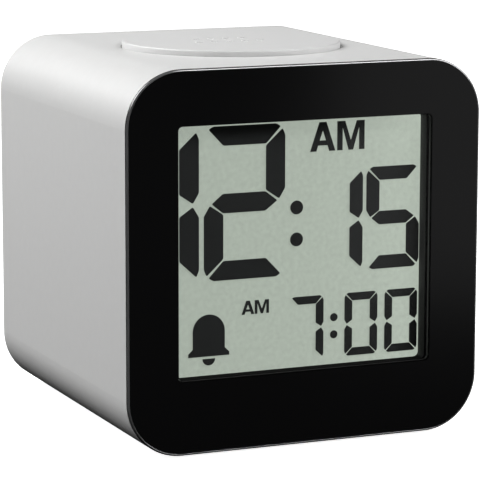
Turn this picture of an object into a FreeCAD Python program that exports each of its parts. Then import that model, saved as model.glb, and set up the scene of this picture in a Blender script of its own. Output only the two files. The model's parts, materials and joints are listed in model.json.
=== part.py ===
"""Cube alarm clock: white sleeve case, black front bezel with an LCD, and one large snooze button.

Millimetres. The origin is on the table under the middle of the clock, +Z is up and the dial faces -Y.
"""
import FreeCAD, Part
import math
import os

import Sketcher

Vector = FreeCAD.Vector
doc = FreeCAD.newDocument("cube_alarm_clock")

# ---------------------------------------------------------------- driving dimensions
DIMENSIONS = (
    ("case_width", "60", "outside width of the cube"),
    ("case_height", "60", "height of the case, without feet and button"),
    ("case_depth", "60", "front face of the bezel to the rear rim"),
    ("corner_radius", "9", "outline corners, seen from the front"),
    ("case_wall", "2", "wall of the white sleeve"),
    ("rim_round", "0.3", "softened edge of the sleeve's rear rim"),
    ("fit_gap", "0.15", "gap between a fixed piece and the piece it sits in"),
    ("slide_gap", "0.2", "gap around a piece that moves"),
    ("film_gap", "0.1", "gap between a stop and the face that meets it"),
    ("foot_height", "0.5", "how far the feet lift the case"),
    ("foot_diameter", "8", ""),
    ("foot_recess", "0.5", "depth that a foot sits in the case"),
    ("foot_inset_x", "12", "foot centre from the side of the case"),
    ("foot_inset_y", "11", "foot centre from the front and back"),
    ("bezel_edge", "0.52", "what shows of the bezel's edge"),
    ("bezel_plate", "3.15", "face of the bezel to the LCD"),
    ("bezel_round", "0.34", "polished front edge"),
    ("seam_width", "0.12", "shadow line between bezel and sleeve"),
    ("seam_depth", "0.35", ""),
    ("rim_depth", "3", "spigot of the bezel inside the sleeve"),
    ("rim_wall", "1.2", ""),
    ("window_width", "43.26", "opening for the lens"),
    ("window_height", "39.74", ""),
    ("window_rise", "11.57", "case bottom to the lower edge of the window"),
    ("window_radius", "0.9", ""),
    ("window_ledge_side", "0.49", "ledge that the lens sits on, left and right"),
    ("window_ledge_end", "0.08", "the same ledge, above and below"),
    ("lens_thickness", "1", ""),
    ("lens_gap", "0.05", "glue line around the lens"),
    ("lens_bevel", "0.12", ""),
    ("polariser_thickness", "0.2", ""),
    ("glass_thickness", "0.55", "each of the two LCD glasses"),
    ("glass_margin", "0.75", "glass beyond the visible area, each side"),
    ("contact_ledge", "2.1", "front glass beyond the rear glass, top and bottom"),
    ("guide_thickness", "1.5", "clear backlight guide"),
    ("frame_wall", "1.2", "black frame around the LCD"),
    ("zebra_width", "1.7", "rubber connector strip"),
    ("led_width", "3.4", "backlight LED"),
    ("led_height", "1.4", ""),
    ("led_depth", "1", ""),
    ("board_thickness", "1.2", "every circuit board"),
    ("main_board_width", "52", ""),
    ("main_board_height", "51", ""),
    ("board_screw_x", "25", "main board screws from the middle"),
    ("board_screw_pitch", "28", "upper to lower main board screws"),
    ("board_post_diameter", "3.2", "posts on the back of the bezel"),
    ("blob_diameter", "10.4", "resin over the controller"),
    ("blob_height", "1.5", ""),
    ("crystal_diameter", "2", ""),
    ("crystal_length", "6", ""),
    ("crystal_x", "11", "crystal from the middle"),
    ("crystal_drop", "3", "lower end of the crystal below the middle of the case"),
    ("capacitor_diameter", "4", ""),
    ("capacitor_height", "5.4", ""),
    ("capacitor_x", "-14", ""),
    ("capacitor_drop", "8", "upper capacitor below the middle of the case"),
    ("capacitor_pitch", "6", ""),
    ("small_screw_diameter", "1.6", "screws of the circuit boards"),
    ("small_screw_length", "5", ""),
    ("small_head_diameter", "3", ""),
    ("small_head_height", "1", ""),
    ("button_diameter", "35.7", "snooze button"),
    ("button_proud", "0.95", "button above the case top"),
    ("button_round", "0.25", ""),
    ("button_skin", "1.75", "thickness of the button's top"),
    ("button_skirt", "1.3", "wall of the button's skirt"),
    ("button_flange", "1.6", "flange beyond the hole, under the case top"),
    ("button_flange_thickness", "1", ""),
    ("button_travel", "0.5", ""),
    ("button_post_diameter", "5", ""),
    ("hole_round", "0.2", "softened edge of the button's hole"),
    ("pip_diameter", "1.1", "raised tactile pips on the button"),
    ("pip_height", "0.12", ""),
    ("pip_pitch", "2.7", ""),
    ("pip_row_pitch", "4.8", ""),
    ("pip_shift", "1.3", "middle of the pips to the left of the button's middle"),
    ("pin_diameter", "2.6", "guide pins under the button"),
    ("pin_radius", "12", "guide pins from the button's centre"),
    ("pin_reach", "1.2", "pins beyond the carrier"),
    ("spring_wire", "0.45", ""),
    ("spring_turns", "5", ""),
    ("carrier_drop", "6.2", "underside of the button to the carrier"),
    ("carrier_thickness", "1.5", ""),
    ("carrier_width", "46", ""),
    ("carrier_depth", "36", ""),
    ("carrier_screw_x", "20.2", ""),
    ("carrier_screw_y", "15.2", ""),
    ("carrier_post_diameter", "4.6", ""),
    ("snooze_board_width", "15", ""),
    ("snooze_board_depth", "9", ""),
    ("peg_diameter", "1.5", "pegs that hold the snooze board"),
    ("peg_pitch", "11.5", ""),
    ("peg_proud", "0.6", "pegs beyond the snooze board"),
    ("switch_side", "6", "square body of a push switch"),
    ("switch_height", "3.4", ""),
    ("plunger_diameter", "3.4", ""),
    ("plunger_proud", "0.8", "plunger above its switch"),
    ("plunger_sunk", "0.6", "plunger inside its switch at rest"),
    ("cover_inset", "0.4", "back cover below the rear rim"),
    ("cover_thickness", "2", ""),
    ("boss_diameter", "6.4", "case bosses for the corner screws"),
    ("boss_reach", "3", "boss centre out from the corner's centre"),
    ("boss_length", "9", ""),
    ("case_screw_diameter", "2.2", ""),
    ("case_screw_length", "7.5", "thread below the back cover"),
    ("case_head_diameter", "4.2", ""),
    ("case_head_height", "1.1", ""),
    ("case_slot_length", "2.9", "cross slot of the corner screws"),
    ("case_slot_width", "0.6", ""),
    ("case_slot_depth", "0.55", ""),
    ("cell_diameter", "10.5", "AAA cell"),
    ("cell_length", "44.5", "AAA cell with its nub"),
    ("nub_diameter", "3.8", ""),
    ("nub_length", "0.8", ""),
    ("cell_gap", "0.3", "room around a cell"),
    ("contact_room", "3.9", "spring behind a cell's flat end"),
    ("contact_thickness", "0.4", ""),
    ("contact_height", "8.6", ""),
    ("contact_tail", "1.6", "solder tail beyond the tray"),
    ("contact_spring_diameter", "6", ""),
    ("contact_spring_turns", "3", ""),
    ("tray_wall", "1.2", ""),
    ("tray_rise", "11.4", "inside of the tray above the table"),
    ("door_thickness", "1.5", ""),
    ("door_land", "0.8", "tray rim that the door lies on"),
    ("tab_width", "7", "hooks of the battery door"),
    ("tab_pitch", "28", ""),
    ("tab_reach", "1.4", "hook under the cover's lip"),
    ("tab_thickness", "1.1", ""),
    ("hook_room", "1", "room below a hook as it tips"),
    ("hook_swing", "0.7", "room above a hook as it tips"),
    ("tongue_width", "9", "spring tongue of the battery door"),
    ("tongue_slot", "0.8", ""),
    ("tongue_length", "6", ""),
    ("ridge_width", "0.8", "finger ridge on the tongue"),
    ("ridge_inset", "0.8", "ridge from the tongue's edges"),
    ("thumb_width", "12", "thumb scoop above the door"),
    ("thumb_depth", "1", ""),
    ("thumb_height", "2", ""),
    ("key_drop", "9", "case top to the row of keys"),
    ("key_pitch", "9", ""),
    ("key_diameter", "6", ""),
    ("key_flange_diameter", "7.6", ""),
    ("key_flange_thickness", "0.8", ""),
    ("key_round", "0.35", ""),
    ("key_travel", "0.3", ""),
    ("key_board_width", "40", ""),
    ("key_board_height", "17.4", ""),
    ("key_board_drop", "23.1", "case top to the lower edge of the key board"),
    ("key_screw_x", "17.4", "key board screws from the middle"),
    ("key_screw_drop", "18.5", "case top to the key board screws"),
    ("key_post_diameter", "3.6", ""),
    ("slider_x", "-10", "middle of the alarm switch"),
    ("slider_drop", "18.5", "case top to the alarm switch and the sounder"),
    ("slider_travel", "3", ""),
    ("slider_grip_width", "4", ""),
    ("slider_grip_height", "2.6", ""),
    ("slider_base_thickness", "0.9", ""),
    ("slider_base_margin", "1.4", "base plate beyond the slot"),
    ("slider_can_width", "8.6", ""),
    ("slider_can_height", "3.8", ""),
    ("slider_can_depth", "3.4", ""),
    ("slider_track_depth", "1.7", ""),
    ("slider_stem", "1.4", "square stem of the alarm switch"),
    ("slider_groove_pitch", "1", "grip grooves of the alarm switch"),
    ("slider_groove_width", "0.4", ""),
    ("slider_groove_depth", "0.2", ""),
    ("sounder_x", "10", "middle of the sounder"),
    ("sounder_diameter", "9", ""),
    ("sounder_height", "4.4", ""),
    ("sounder_mouth_diameter", "2.2", ""),
    ("sounder_mouth_depth", "1.1", ""),
    ("slot_width", "1", "sound slots"),
    ("slot_height", "7", ""),
    ("slot_pitch", "2", ""),
    ("key_ribbon_width", "8", "flat cable to the key board"),
    ("key_ribbon_rise", "5", "its ends above the lower edge of the key board"),
    ("key_ribbon_sag", "2.5", ""),
    ("snooze_ribbon_width", "5", "flat cable to the snooze board"),
    ("snooze_ribbon_sag", "0.6", ""),
    ("ribbon_thickness", "0.8", ""),
    ("wire_diameter", "1.2", ""),
    ("wire_lift", "3", "solder pad above the contact tail"),
    ("red_pad_inset", "9", "red wire's pad from the main board's edge"),
    ("black_pad_inset", "12", "black wire's pad from the main board's edge"),
)

sheet = doc.addObject("Spreadsheet::Sheet", "dims")
for row, (alias, text, note) in enumerate(DIMENSIONS, start=1):
    sheet.set("A%d" % row, alias)
    sheet.set("B%d" % row, text)
    sheet.set("C%d" % row, note)
    sheet.setAlias("B%d" % row, alias)
doc.recompute()


class Size:
    """A length that knows its formula over the sheet and its value in millimetres."""

    def __init__(self, formula, value):
        self.formula = formula
        self.value = value

    def joined(self, sign, other, value):
        return Size("(%s %s %s)" % (self.formula, sign, other.formula), value)

    def __add__(self, other):
        other = as_size(other)
        return self.joined("+", other, self.value + other.value)

    def __sub__(self, other):
        other = as_size(other)
        return self.joined("-", other, self.value - other.value)

    def __mul__(self, other):
        other = as_size(other)
        return self.joined("*", other, self.value * other.value)

    def __truediv__(self, other):
        other = as_size(other)
        return self.joined("/", other, self.value / other.value)

    def __neg__(self):
        return Size("(0 - %s)" % self.formula, -self.value)

    def __radd__(self, other):
        return as_size(other) + self

    def __rsub__(self, other):
        return as_size(other) - self

    def __rmul__(self, other):
        return as_size(other) * self


def as_size(item):
    return item if isinstance(item, Size) else Size("%.6f" % item, float(item))


class Dims:
    """Every driving dimension as a Size, under its alias."""


d = Dims()
for alias, text, note in DIMENSIONS:
    setattr(d, alias, Size("dims." + alias, float(getattr(sheet, alias))))

ZERO = as_size(0)

# ---------------------------------------------------------------- shared levels and places
# along Y, front to back
FACE = -d.case_depth / 2
SLEEVE_FRONT = FACE + d.bezel_edge
REAR_RIM = d.case_depth / 2
LENS_BACK = FACE + d.lens_thickness
LCD_FRONT = FACE + d.bezel_plate
FRONT_GLASS = LCD_FRONT + d.polariser_thickness
REAR_GLASS = FRONT_GLASS + d.glass_thickness
REAR_FILM = REAR_GLASS + d.glass_thickness
GUIDE_FRONT = REAR_FILM + d.polariser_thickness
MAIN_BOARD_FRONT = GUIDE_FRONT + d.guide_thickness
MAIN_BOARD_BACK = MAIN_BOARD_FRONT + d.board_thickness
COVER_BACK = REAR_RIM - d.cover_inset
COVER_FRONT = COVER_BACK - d.cover_thickness
BUTTON_Y = (SLEEVE_FRONT + REAR_RIM) / 2
# up Z
CASE_BOTTOM = d.foot_height
CASE_TOP = CASE_BOTTOM + d.case_height
CASE_MID = CASE_BOTTOM + d.case_height / 2
CEILING = CASE_TOP - d.case_wall
WINDOW_BOTTOM = CASE_BOTTOM + d.window_rise
WINDOW_TOP = WINDOW_BOTTOM + d.window_height
SIGHT_BOTTOM = WINDOW_BOTTOM + d.window_ledge_end
SIGHT_TOP = WINDOW_TOP - d.window_ledge_end
LCD_MID = WINDOW_BOTTOM + d.window_height / 2
# half widths, and heights of what the back cover carries
CASE_HALF = d.case_width / 2
INNER_HALF = CASE_HALF - d.case_wall
INNER_RADIUS = d.corner_radius - d.case_wall
SIGHT_HALF = d.window_width / 2 - d.window_ledge_side
GLASS_HALF = SIGHT_HALF + d.glass_margin
KEY_Z = CASE_TOP - d.key_drop
KEY_BOARD_BOTTOM = CASE_TOP - d.key_board_drop
KEY_SCREW_Z = CASE_TOP - d.key_screw_drop
SLIDER_Z = CASE_TOP - d.slider_drop
BOSS_X = CASE_HALF - d.corner_radius + d.boss_reach
BOSS_Z = d.case_height / 2 - d.corner_radius + d.boss_reach


# ---------------------------------------------------------------- helpers: binding and primitives
def bind(item, prop, size):
    item.setExpression(prop, as_size(size).formula)


def place(item, x, y, z):
    for axis, size in (("x", x), ("y", y), ("z", z)):
        bind(item, "Placement.Base." + axis, size)


def middle(centre, length):
    """Start and length of a span about its centre."""
    return centre - as_size(length) / 2, as_size(length)


def between(start, end):
    """Start and length of a span from its two ends."""
    return start, as_size(end) - start


def block(name, x_span, y_span, z_span):
    item = doc.addObject("Part::Box", name)
    bind(item, "Length", x_span[1])
    bind(item, "Width", y_span[1])
    bind(item, "Height", z_span[1])
    place(item, x_span[0], y_span[0], z_span[0])
    return item


TURNS = {
    "z": FreeCAD.Rotation(),
    "y": FreeCAD.Rotation(Vector(1, 0, 0), -90),
    "x": FreeCAD.Rotation(Vector(0, 1, 0), 90),
}


def rod(name, axis, diameter, start, length):
    """A cylinder along one axis from a start point, given as three sizes."""
    item = doc.addObject("Part::Cylinder", name)
    item.Placement = FreeCAD.Placement(Vector(), TURNS[axis])
    bind(item, "Radius", diameter / 2)
    bind(item, "Height", length)
    place(item, *start)
    return item


def cut(name, base, tools):
    tool = tools[0] if len(tools) == 1 else fuse(name + "_tools", tools)
    item = doc.addObject("Part::Cut", name)
    item.Base = base
    item.Tool = tool
    return item


def fuse(name, pieces):
    item = doc.addObject("Part::MultiFuse", name)
    item.Shapes = pieces
    return item


def group(name, pieces):
    """Separate solids of one kind, kept apart under one name."""
    item = doc.addObject("Part::Compound", name)
    item.Links = pieces
    return item


parts = []


def keep(item, label):
    """Names a finished piece, so that it is checked and written."""
    item.Label = label
    parts.append(item)
    return item


# ---------------------------------------------------------------- helpers: sketches and bodies
ORIGIN = -1
FRONT_PLANE = "XZ_Plane"
TOP_PLANE = "XY_Plane"


def new_body(label):
    return keep(doc.addObject("PartDesign::Body", label), label)


def new_sketch(body, name, role, offset):
    """A sketch on one of the body's own origin planes, moved along the plane's normal."""
    sketch = body.newObject("Sketcher::SketchObject", name)
    planes = [feature for feature in body.Origin.OriginFeatures if feature.Role == role]
    sketch.AttachmentSupport = (planes[0], [""])
    sketch.MapMode = "FlatFace"
    bind(sketch, "AttachmentOffset.Base.z", offset)
    return sketch


def front_sketch(body, name, y_level):
    """A sketch seen from the front: its normal points to -Y."""
    return new_sketch(body, name, FRONT_PLANE, -as_size(y_level))


def hold(sketch, constraint, size):
    index = sketch.addConstraint(constraint)
    bind(sketch, "Constraints[%d]" % index, size)


def fix_coordinate(sketch, kind, geometry, point, size):
    """Ties one coordinate of a point to a size, whichever side of the origin it is on."""
    size = as_size(size)
    if abs(size.value) < 1e-9:
        axis = -2 if kind == "DistanceX" else -1
        sketch.addConstraint(Sketcher.Constraint("PointOnObject", geometry, point, axis))
    elif size.value > 0:
        hold(sketch, Sketcher.Constraint(kind, ORIGIN, 1, geometry, point, size.value), size)
    else:
        hold(sketch, Sketcher.Constraint(kind, geometry, point, ORIGIN, 1, -size.value), -size)


def rectangle(sketch, left, right, bottom, top):
    corners = [(left, bottom), (right, bottom), (right, top), (left, top)]
    points = [Vector(as_size(x).value, as_size(z).value, 0) for x, z in corners]
    first = sketch.GeometryCount
    for start, end in zip(points, points[1:] + points[:1]):
        sketch.addGeometry(Part.LineSegment(start, end), False)
    for side in range(4):
        joint = Sketcher.Constraint("Coincident", first + side, 2, first + (side + 1) % 4, 1)
        sketch.addConstraint(joint)
        kind = "Horizontal" if side % 2 == 0 else "Vertical"
        sketch.addConstraint(Sketcher.Constraint(kind, first + side))
    fix_coordinate(sketch, "DistanceX", first + 3, 1, left)
    fix_coordinate(sketch, "DistanceX", first + 1, 1, right)
    fix_coordinate(sketch, "DistanceY", first, 1, bottom)
    fix_coordinate(sketch, "DistanceY", first + 2, 1, top)


def rounded_rectangle(sketch, half_width, bottom, top, radius):
    """A rectangle about the middle of the clock, with four equal round corners."""
    w, z0, z1, r = half_width.value, bottom.value, top.value, radius.value
    first = sketch.GeometryCount
    ends = [
        ((r - w, z0), (w - r, z0)),
        ((w, z0 + r), (w, z1 - r)),
        ((w - r, z1), (r - w, z1)),
        ((-w, z1 - r), (-w, z0 + r)),
    ]
    for start, end in ends:
        sketch.addGeometry(Part.LineSegment(Vector(*start, 0), Vector(*end, 0)), False)
    centres = [(w - r, z0 + r), (w - r, z1 - r), (r - w, z1 - r), (r - w, z0 + r)]
    for quarter, centre in enumerate(centres):
        circle = Part.Circle(Vector(*centre, 0), Vector(0, 0, 1), r)
        start = (quarter - 1) * math.pi / 2
        sketch.addGeometry(Part.ArcOfCircle(circle, start, start + math.pi / 2), False)
    for side in range(4):
        arc = first + 4 + side
        sketch.addConstraint(Sketcher.Constraint("Tangent", first + side, 2, arc, 1))
        sketch.addConstraint(Sketcher.Constraint("Tangent", arc, 2, first + (side + 1) % 4, 1))
        kind = "Horizontal" if side % 2 == 0 else "Vertical"
        sketch.addConstraint(Sketcher.Constraint(kind, first + side))
    for arc in range(first + 5, first + 8):
        sketch.addConstraint(Sketcher.Constraint("Equal", first + 4, arc))
    hold(sketch, Sketcher.Constraint("Radius", first + 4, r), radius)
    fix_coordinate(sketch, "DistanceX", first + 1, 1, half_width)
    fix_coordinate(sketch, "DistanceX", first + 3, 1, -half_width)
    fix_coordinate(sketch, "DistanceY", first, 1, bottom)
    fix_coordinate(sketch, "DistanceY", first + 2, 1, top)


def circle(sketch, x, z, diameter):
    x, z = as_size(x), as_size(z)
    radius = diameter / 2
    round_line = Part.Circle(Vector(x.value, z.value, 0), Vector(0, 0, 1), radius.value)
    index = sketch.addGeometry(round_line, False)
    hold(sketch, Sketcher.Constraint("Radius", index, radius.value), radius)
    fix_coordinate(sketch, "DistanceX", index, 3, x)
    fix_coordinate(sketch, "DistanceY", index, 3, z)


def along_normal(sketch, way):
    """A front sketch's normal points to -Y, a top sketch's to +Z; way is +1 or -1 along Y or Z."""
    faces_front = sketch.AttachmentSupport[0][0].Role == FRONT_PLANE
    return (way > 0) != faces_front


def pad(body, sketch, length, way=1):
    """Adds material from the sketch towards the back or the top, or with way=-1 against it."""
    feature = body.newObject("PartDesign::Pad", sketch.Name + "_pad")
    feature.Profile = sketch
    feature.Reversed = not along_normal(sketch, way)
    bind(feature, "Length", length)
    doc.recompute()
    return feature


def pocket(body, sketch, depth, way=1):
    """Cuts away from the sketch; a pocket that removes nothing stops the script."""
    before = body.Shape.Volume
    feature = body.newObject("PartDesign::Pocket", sketch.Name + "_pocket")
    feature.Profile = sketch
    feature.Reversed = along_normal(sketch, way)
    bind(feature, "Length", depth)
    doc.recompute()
    if not body.Shape.Volume < before:
        raise RuntimeError("pocket %s cuts nothing" % feature.Name)
    return feature


def edges_where(shape, test):
    names = []
    for number, edge in enumerate(shape.Edges, start=1):
        if test(edge):
            names.append("Edge%d" % number)
    return names


def lies_at(edge, axis, level):
    """True for an edge that lies flat at one level of X, Y or Z (0, 1 or 2)."""
    box = edge.BoundBox
    low = (box.XMin, box.YMin, box.ZMin)[axis]
    high = (box.XMax, box.YMax, box.ZMax)[axis]
    return abs(low - level.value) < 1e-4 and abs(high - level.value) < 1e-4


def dress(kind, body, size, prop, test):
    """A fillet or chamfer on the edges of the body that pass a test."""
    names = edges_where(body.Shape, test)
    if not names:
        raise RuntimeError("no edge to dress on %s" % body.Label)
    base = body.Tip
    feature = body.newObject("PartDesign::" + kind, body.Name + "_" + kind.lower())
    feature.Base = (base, names)
    bind(feature, prop, size)
    doc.recompute()
    if "Invalid" in feature.State:
        raise RuntimeError("%s did not dress its edges" % feature.Name)
    return feature


def fillet(body, radius, test):
    return dress("Fillet", body, radius, "Radius", test)


def chamfer(body, size, test):
    return dress("Chamfer", body, size, "Size", test)


# ---------------------------------------------------------------- case
def corner_places():
    for side_x in (-1, 1):
        for side_z in (-1, 1):
            yield BOSS_X * side_x, CASE_MID + BOSS_Z * side_z


def foot_places():
    for side_x in (-1, 1):
        for y in (FACE + d.foot_inset_y, REAR_RIM - d.foot_inset_y):
            yield (CASE_HALF - d.foot_inset_x) * side_x, y


def carrier_places():
    for side_x in (-1, 1):
        for side_y in (-1, 1):
            yield d.carrier_screw_x * side_x, BUTTON_Y + d.carrier_screw_y * side_y


UNDERSIDE = CASE_TOP + d.button_proud - d.button_skin
CARRIER_TOP = UNDERSIDE - d.carrier_drop
CARRIER_BOTTOM = CARRIER_TOP - d.carrier_thickness


def make_case_shell():
    body = new_body("case_shell")
    outline = front_sketch(body, "case_outline", SLEEVE_FRONT)
    rounded_rectangle(outline, CASE_HALF, CASE_BOTTOM, CASE_TOP, d.corner_radius)
    pad(body, outline, REAR_RIM - SLEEVE_FRONT)
    bore = front_sketch(body, "case_bore", SLEEVE_FRONT)
    floor = CASE_BOTTOM + d.case_wall
    rounded_rectangle(bore, INNER_HALF, floor, CEILING, INNER_RADIUS)
    pocket(body, bore, REAR_RIM - SLEEVE_FRONT)
    bosses = front_sketch(body, "case_bosses", COVER_FRONT)
    for x, z in corner_places():
        circle(bosses, x, z, d.boss_diameter)
    pad(body, bosses, d.boss_length, way=-1)
    pilots = front_sketch(body, "boss_pilots", COVER_FRONT)
    for x, z in corner_places():
        circle(pilots, x, z, d.case_screw_diameter)
    pocket(body, pilots, d.case_screw_length, way=-1)
    hole = new_sketch(body, "button_hole", TOP_PLANE, CEILING)
    circle(hole, ZERO, BUTTON_Y, d.button_diameter + 2 * d.slide_gap)
    pocket(body, hole, d.case_wall)
    posts = new_sketch(body, "carrier_posts", TOP_PLANE, CARRIER_TOP)
    for x, y in carrier_places():
        circle(posts, x, y, d.carrier_post_diameter)
    pad(body, posts, CEILING - CARRIER_TOP)
    threads = new_sketch(body, "carrier_pilots", TOP_PLANE, CARRIER_TOP)
    for x, y in carrier_places():
        circle(threads, x, y, d.small_screw_diameter)
    pocket(body, threads, d.small_screw_length - d.carrier_thickness)
    recesses = new_sketch(body, "foot_recesses", TOP_PLANE, CASE_BOTTOM)
    for x, y in foot_places():
        circle(recesses, x, y, d.foot_diameter + 2 * d.fit_gap)
    pocket(body, recesses, d.foot_recess)
    edge = d.button_diameter.value / 2 + d.slide_gap.value

    def at_hole(candidate):
        box = candidate.BoundBox
        return lies_at(candidate, 2, CASE_TOP) and abs(box.XLength / 2 - edge) < 1e-3

    fillet(body, d.hole_round, at_hole)

    def at_rim(candidate):
        box = candidate.BoundBox
        outside = max(abs(box.XMin), abs(box.XMax)) > INNER_HALF.value + 1e-3
        outside = outside or box.ZMin < CASE_BOTTOM.value + 1e-3 or box.ZMax > CASE_TOP.value - 1e-3
        return lies_at(candidate, 1, REAR_RIM) and outside

    fillet(body, d.rim_round, at_rim)


def make_feet():
    feet = []
    for number, (x, y) in enumerate(foot_places(), start=1):
        height = d.foot_height + d.foot_recess
        feet.append(rod("foot_%d" % number, "z", d.foot_diameter, (x, y, ZERO), height))
    keep(group("feet", feet), "rubber_feet")


# ---------------------------------------------------------------- front
def board_screw_places():
    for side_x in (-1, 1):
        for side_z in (-1, 1):
            yield d.board_screw_x * side_x, CASE_MID + d.board_screw_pitch / 2 * side_z


def make_front_bezel():
    body = new_body("front_bezel")
    face = front_sketch(body, "bezel_face", FACE)
    rounded_rectangle(face, CASE_HALF, CASE_BOTTOM, CASE_TOP, d.corner_radius)
    pad(body, face, d.bezel_edge - d.seam_width)
    fillet(body, d.bezel_round, lambda edge: lies_at(edge, 1, FACE))
    seam = front_sketch(body, "bezel_seam", SLEEVE_FRONT - d.seam_width)
    rounded_rectangle(
        seam,
        CASE_HALF - d.seam_depth,
        CASE_BOTTOM + d.seam_depth,
        CASE_TOP - d.seam_depth,
        d.corner_radius - d.seam_depth,
    )
    pad(body, seam, d.seam_width)
    spigot_half = INNER_HALF - d.fit_gap
    spigot_bottom = CASE_BOTTOM + d.case_wall + d.fit_gap
    spigot_top = CEILING - d.fit_gap
    spigot_radius = INNER_RADIUS - d.fit_gap
    spigot = front_sketch(body, "bezel_spigot", SLEEVE_FRONT)
    rounded_rectangle(spigot, spigot_half, spigot_bottom, spigot_top, spigot_radius)
    pad(body, spigot, LCD_FRONT - SLEEVE_FRONT + d.rim_depth)
    hollow = front_sketch(body, "bezel_hollow", LCD_FRONT)
    rounded_rectangle(
        hollow,
        spigot_half - d.rim_wall,
        spigot_bottom + d.rim_wall,
        spigot_top - d.rim_wall,
        spigot_radius - d.rim_wall,
    )
    pocket(body, hollow, d.rim_depth)
    posts = front_sketch(body, "board_posts", LCD_FRONT)
    for x, z in board_screw_places():
        circle(posts, x, z, d.board_post_diameter)
    pad(body, posts, MAIN_BOARD_FRONT - LCD_FRONT)
    pilots = front_sketch(body, "board_pilots", MAIN_BOARD_FRONT)
    for x, z in board_screw_places():
        circle(pilots, x, z, d.small_screw_diameter)
    pocket(body, pilots, d.small_screw_length - d.board_thickness, way=-1)
    rebate = front_sketch(body, "lens_rebate", FACE)
    rounded_rectangle(rebate, d.window_width / 2, WINDOW_BOTTOM, WINDOW_TOP, d.window_radius)
    pocket(body, rebate, d.lens_thickness)
    sight = front_sketch(body, "sight_opening", LENS_BACK)
    sight_radius = d.window_radius - d.window_ledge_end
    rounded_rectangle(sight, SIGHT_HALF, SIGHT_BOTTOM, SIGHT_TOP, sight_radius)
    pocket(body, sight, LCD_FRONT - LENS_BACK)


def make_window_lens():
    body = new_body("window_lens")
    outline = front_sketch(body, "lens_outline", FACE)
    gap = d.lens_gap
    rounded_rectangle(
        outline,
        d.window_width / 2 - gap,
        WINDOW_BOTTOM + gap,
        WINDOW_TOP - gap,
        d.window_radius - gap,
    )
    pad(body, outline, d.lens_thickness)
    chamfer(body, d.lens_bevel, lambda edge: lies_at(edge, 1, FACE))


REAR_GLASS_SPAN = middle(LCD_MID, SIGHT_TOP - SIGHT_BOTTOM + 2 * d.glass_margin)
FRONT_GLASS_SPAN = middle(LCD_MID, REAR_GLASS_SPAN[1] + 2 * d.contact_ledge)
GLASS_X_SPAN = middle(ZERO, 2 * GLASS_HALF)


def make_lcd():
    film_x = middle(ZERO, 2 * GLASS_HALF - d.glass_margin)
    film_z = middle(LCD_MID, REAR_GLASS_SPAN[1] - d.glass_margin)
    front_film = block("front_film", film_x, (LCD_FRONT, d.polariser_thickness), film_z)
    keep(front_film, "lcd_front_polariser")
    front_glass = block("front_glass", GLASS_X_SPAN, (FRONT_GLASS, d.glass_thickness), FRONT_GLASS_SPAN)
    keep(front_glass, "lcd_front_glass")
    rear_glass = block("rear_glass", GLASS_X_SPAN, (REAR_GLASS, d.glass_thickness), REAR_GLASS_SPAN)
    keep(rear_glass, "lcd_rear_glass")
    rear_film = block("rear_film", film_x, (REAR_FILM, d.polariser_thickness), film_z)
    keep(rear_film, "lcd_reflector_film")
    led_room = d.led_height + d.fit_gap
    guide_slab = block("guide_slab", GLASS_X_SPAN, (GUIDE_FRONT, d.guide_thickness), REAR_GLASS_SPAN)
    notch_x = middle(ZERO, d.led_width + 2 * d.fit_gap)
    notch_y = (MAIN_BOARD_FRONT - d.led_depth - d.fit_gap, d.led_depth + d.fit_gap)
    notch = block("guide_notch", notch_x, notch_y, (REAR_GLASS_SPAN[0], led_room))
    keep(cut("guide", guide_slab, [notch]), "backlight_guide")
    led_y = (MAIN_BOARD_FRONT - d.led_depth, d.led_depth)
    led = block("led", middle(ZERO, d.led_width), led_y, (REAR_GLASS_SPAN[0], d.led_height))
    keep(led, "backlight_led")
    strips = []
    strip_room = (d.contact_ledge - d.zebra_width) / 2
    rear_glass_top = REAR_GLASS_SPAN[0] + REAR_GLASS_SPAN[1]
    rises = (REAR_GLASS_SPAN[0] - d.contact_ledge + strip_room, rear_glass_top + strip_room)
    for number, rise in enumerate(rises, start=1):
        strip_x = middle(ZERO, 2 * GLASS_HALF - 2 * d.glass_margin)
        strip_y = between(REAR_GLASS, MAIN_BOARD_FRONT)
        strips.append(block("strip_%d" % number, strip_x, strip_y, (rise, d.zebra_width)))
    keep(group("strips", strips), "zebra_strips")


def make_lcd_frame():
    gap = d.fit_gap
    inner_x = middle(ZERO, GLASS_X_SPAN[1] + 2 * gap)
    inner_z = middle(LCD_MID, FRONT_GLASS_SPAN[1] + 2 * gap)
    depth = between(LCD_FRONT, MAIN_BOARD_FRONT)
    outer_x = middle(ZERO, inner_x[1] + 2 * d.frame_wall)
    outer_z = middle(LCD_MID, inner_z[1] + 2 * d.frame_wall)
    outer = block("frame_outer", outer_x, depth, outer_z)
    inner = block("frame_inner", inner_x, depth, inner_z)
    keep(cut("frame", outer, [inner]), "lcd_frame")


def small_screw(name, axis, place_at, head_side):
    """A board screw: head_side is +1 where the head points along the axis, -1 against it."""
    x, y, z = place_at
    head = d.small_head_height
    shank = d.small_screw_length - d.film_gap
    offsets = {"y": (ZERO, as_size(1), ZERO), "z": (ZERO, ZERO, as_size(1))}[axis]
    head_shift = ZERO if head_side > 0 else -head
    shank_shift = -shank if head_side > 0 else ZERO
    head_start = [at + step * head_shift for at, step in zip((x, y, z), offsets)]
    shank_start = [at + step * shank_shift for at, step in zip((x, y, z), offsets)]
    cap = rod(name + "_cap", axis, d.small_head_diameter, head_start, head)
    stem = rod(name + "_stem", axis, d.small_screw_diameter, shank_start, shank)
    return fuse(name, [cap, stem])


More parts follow.
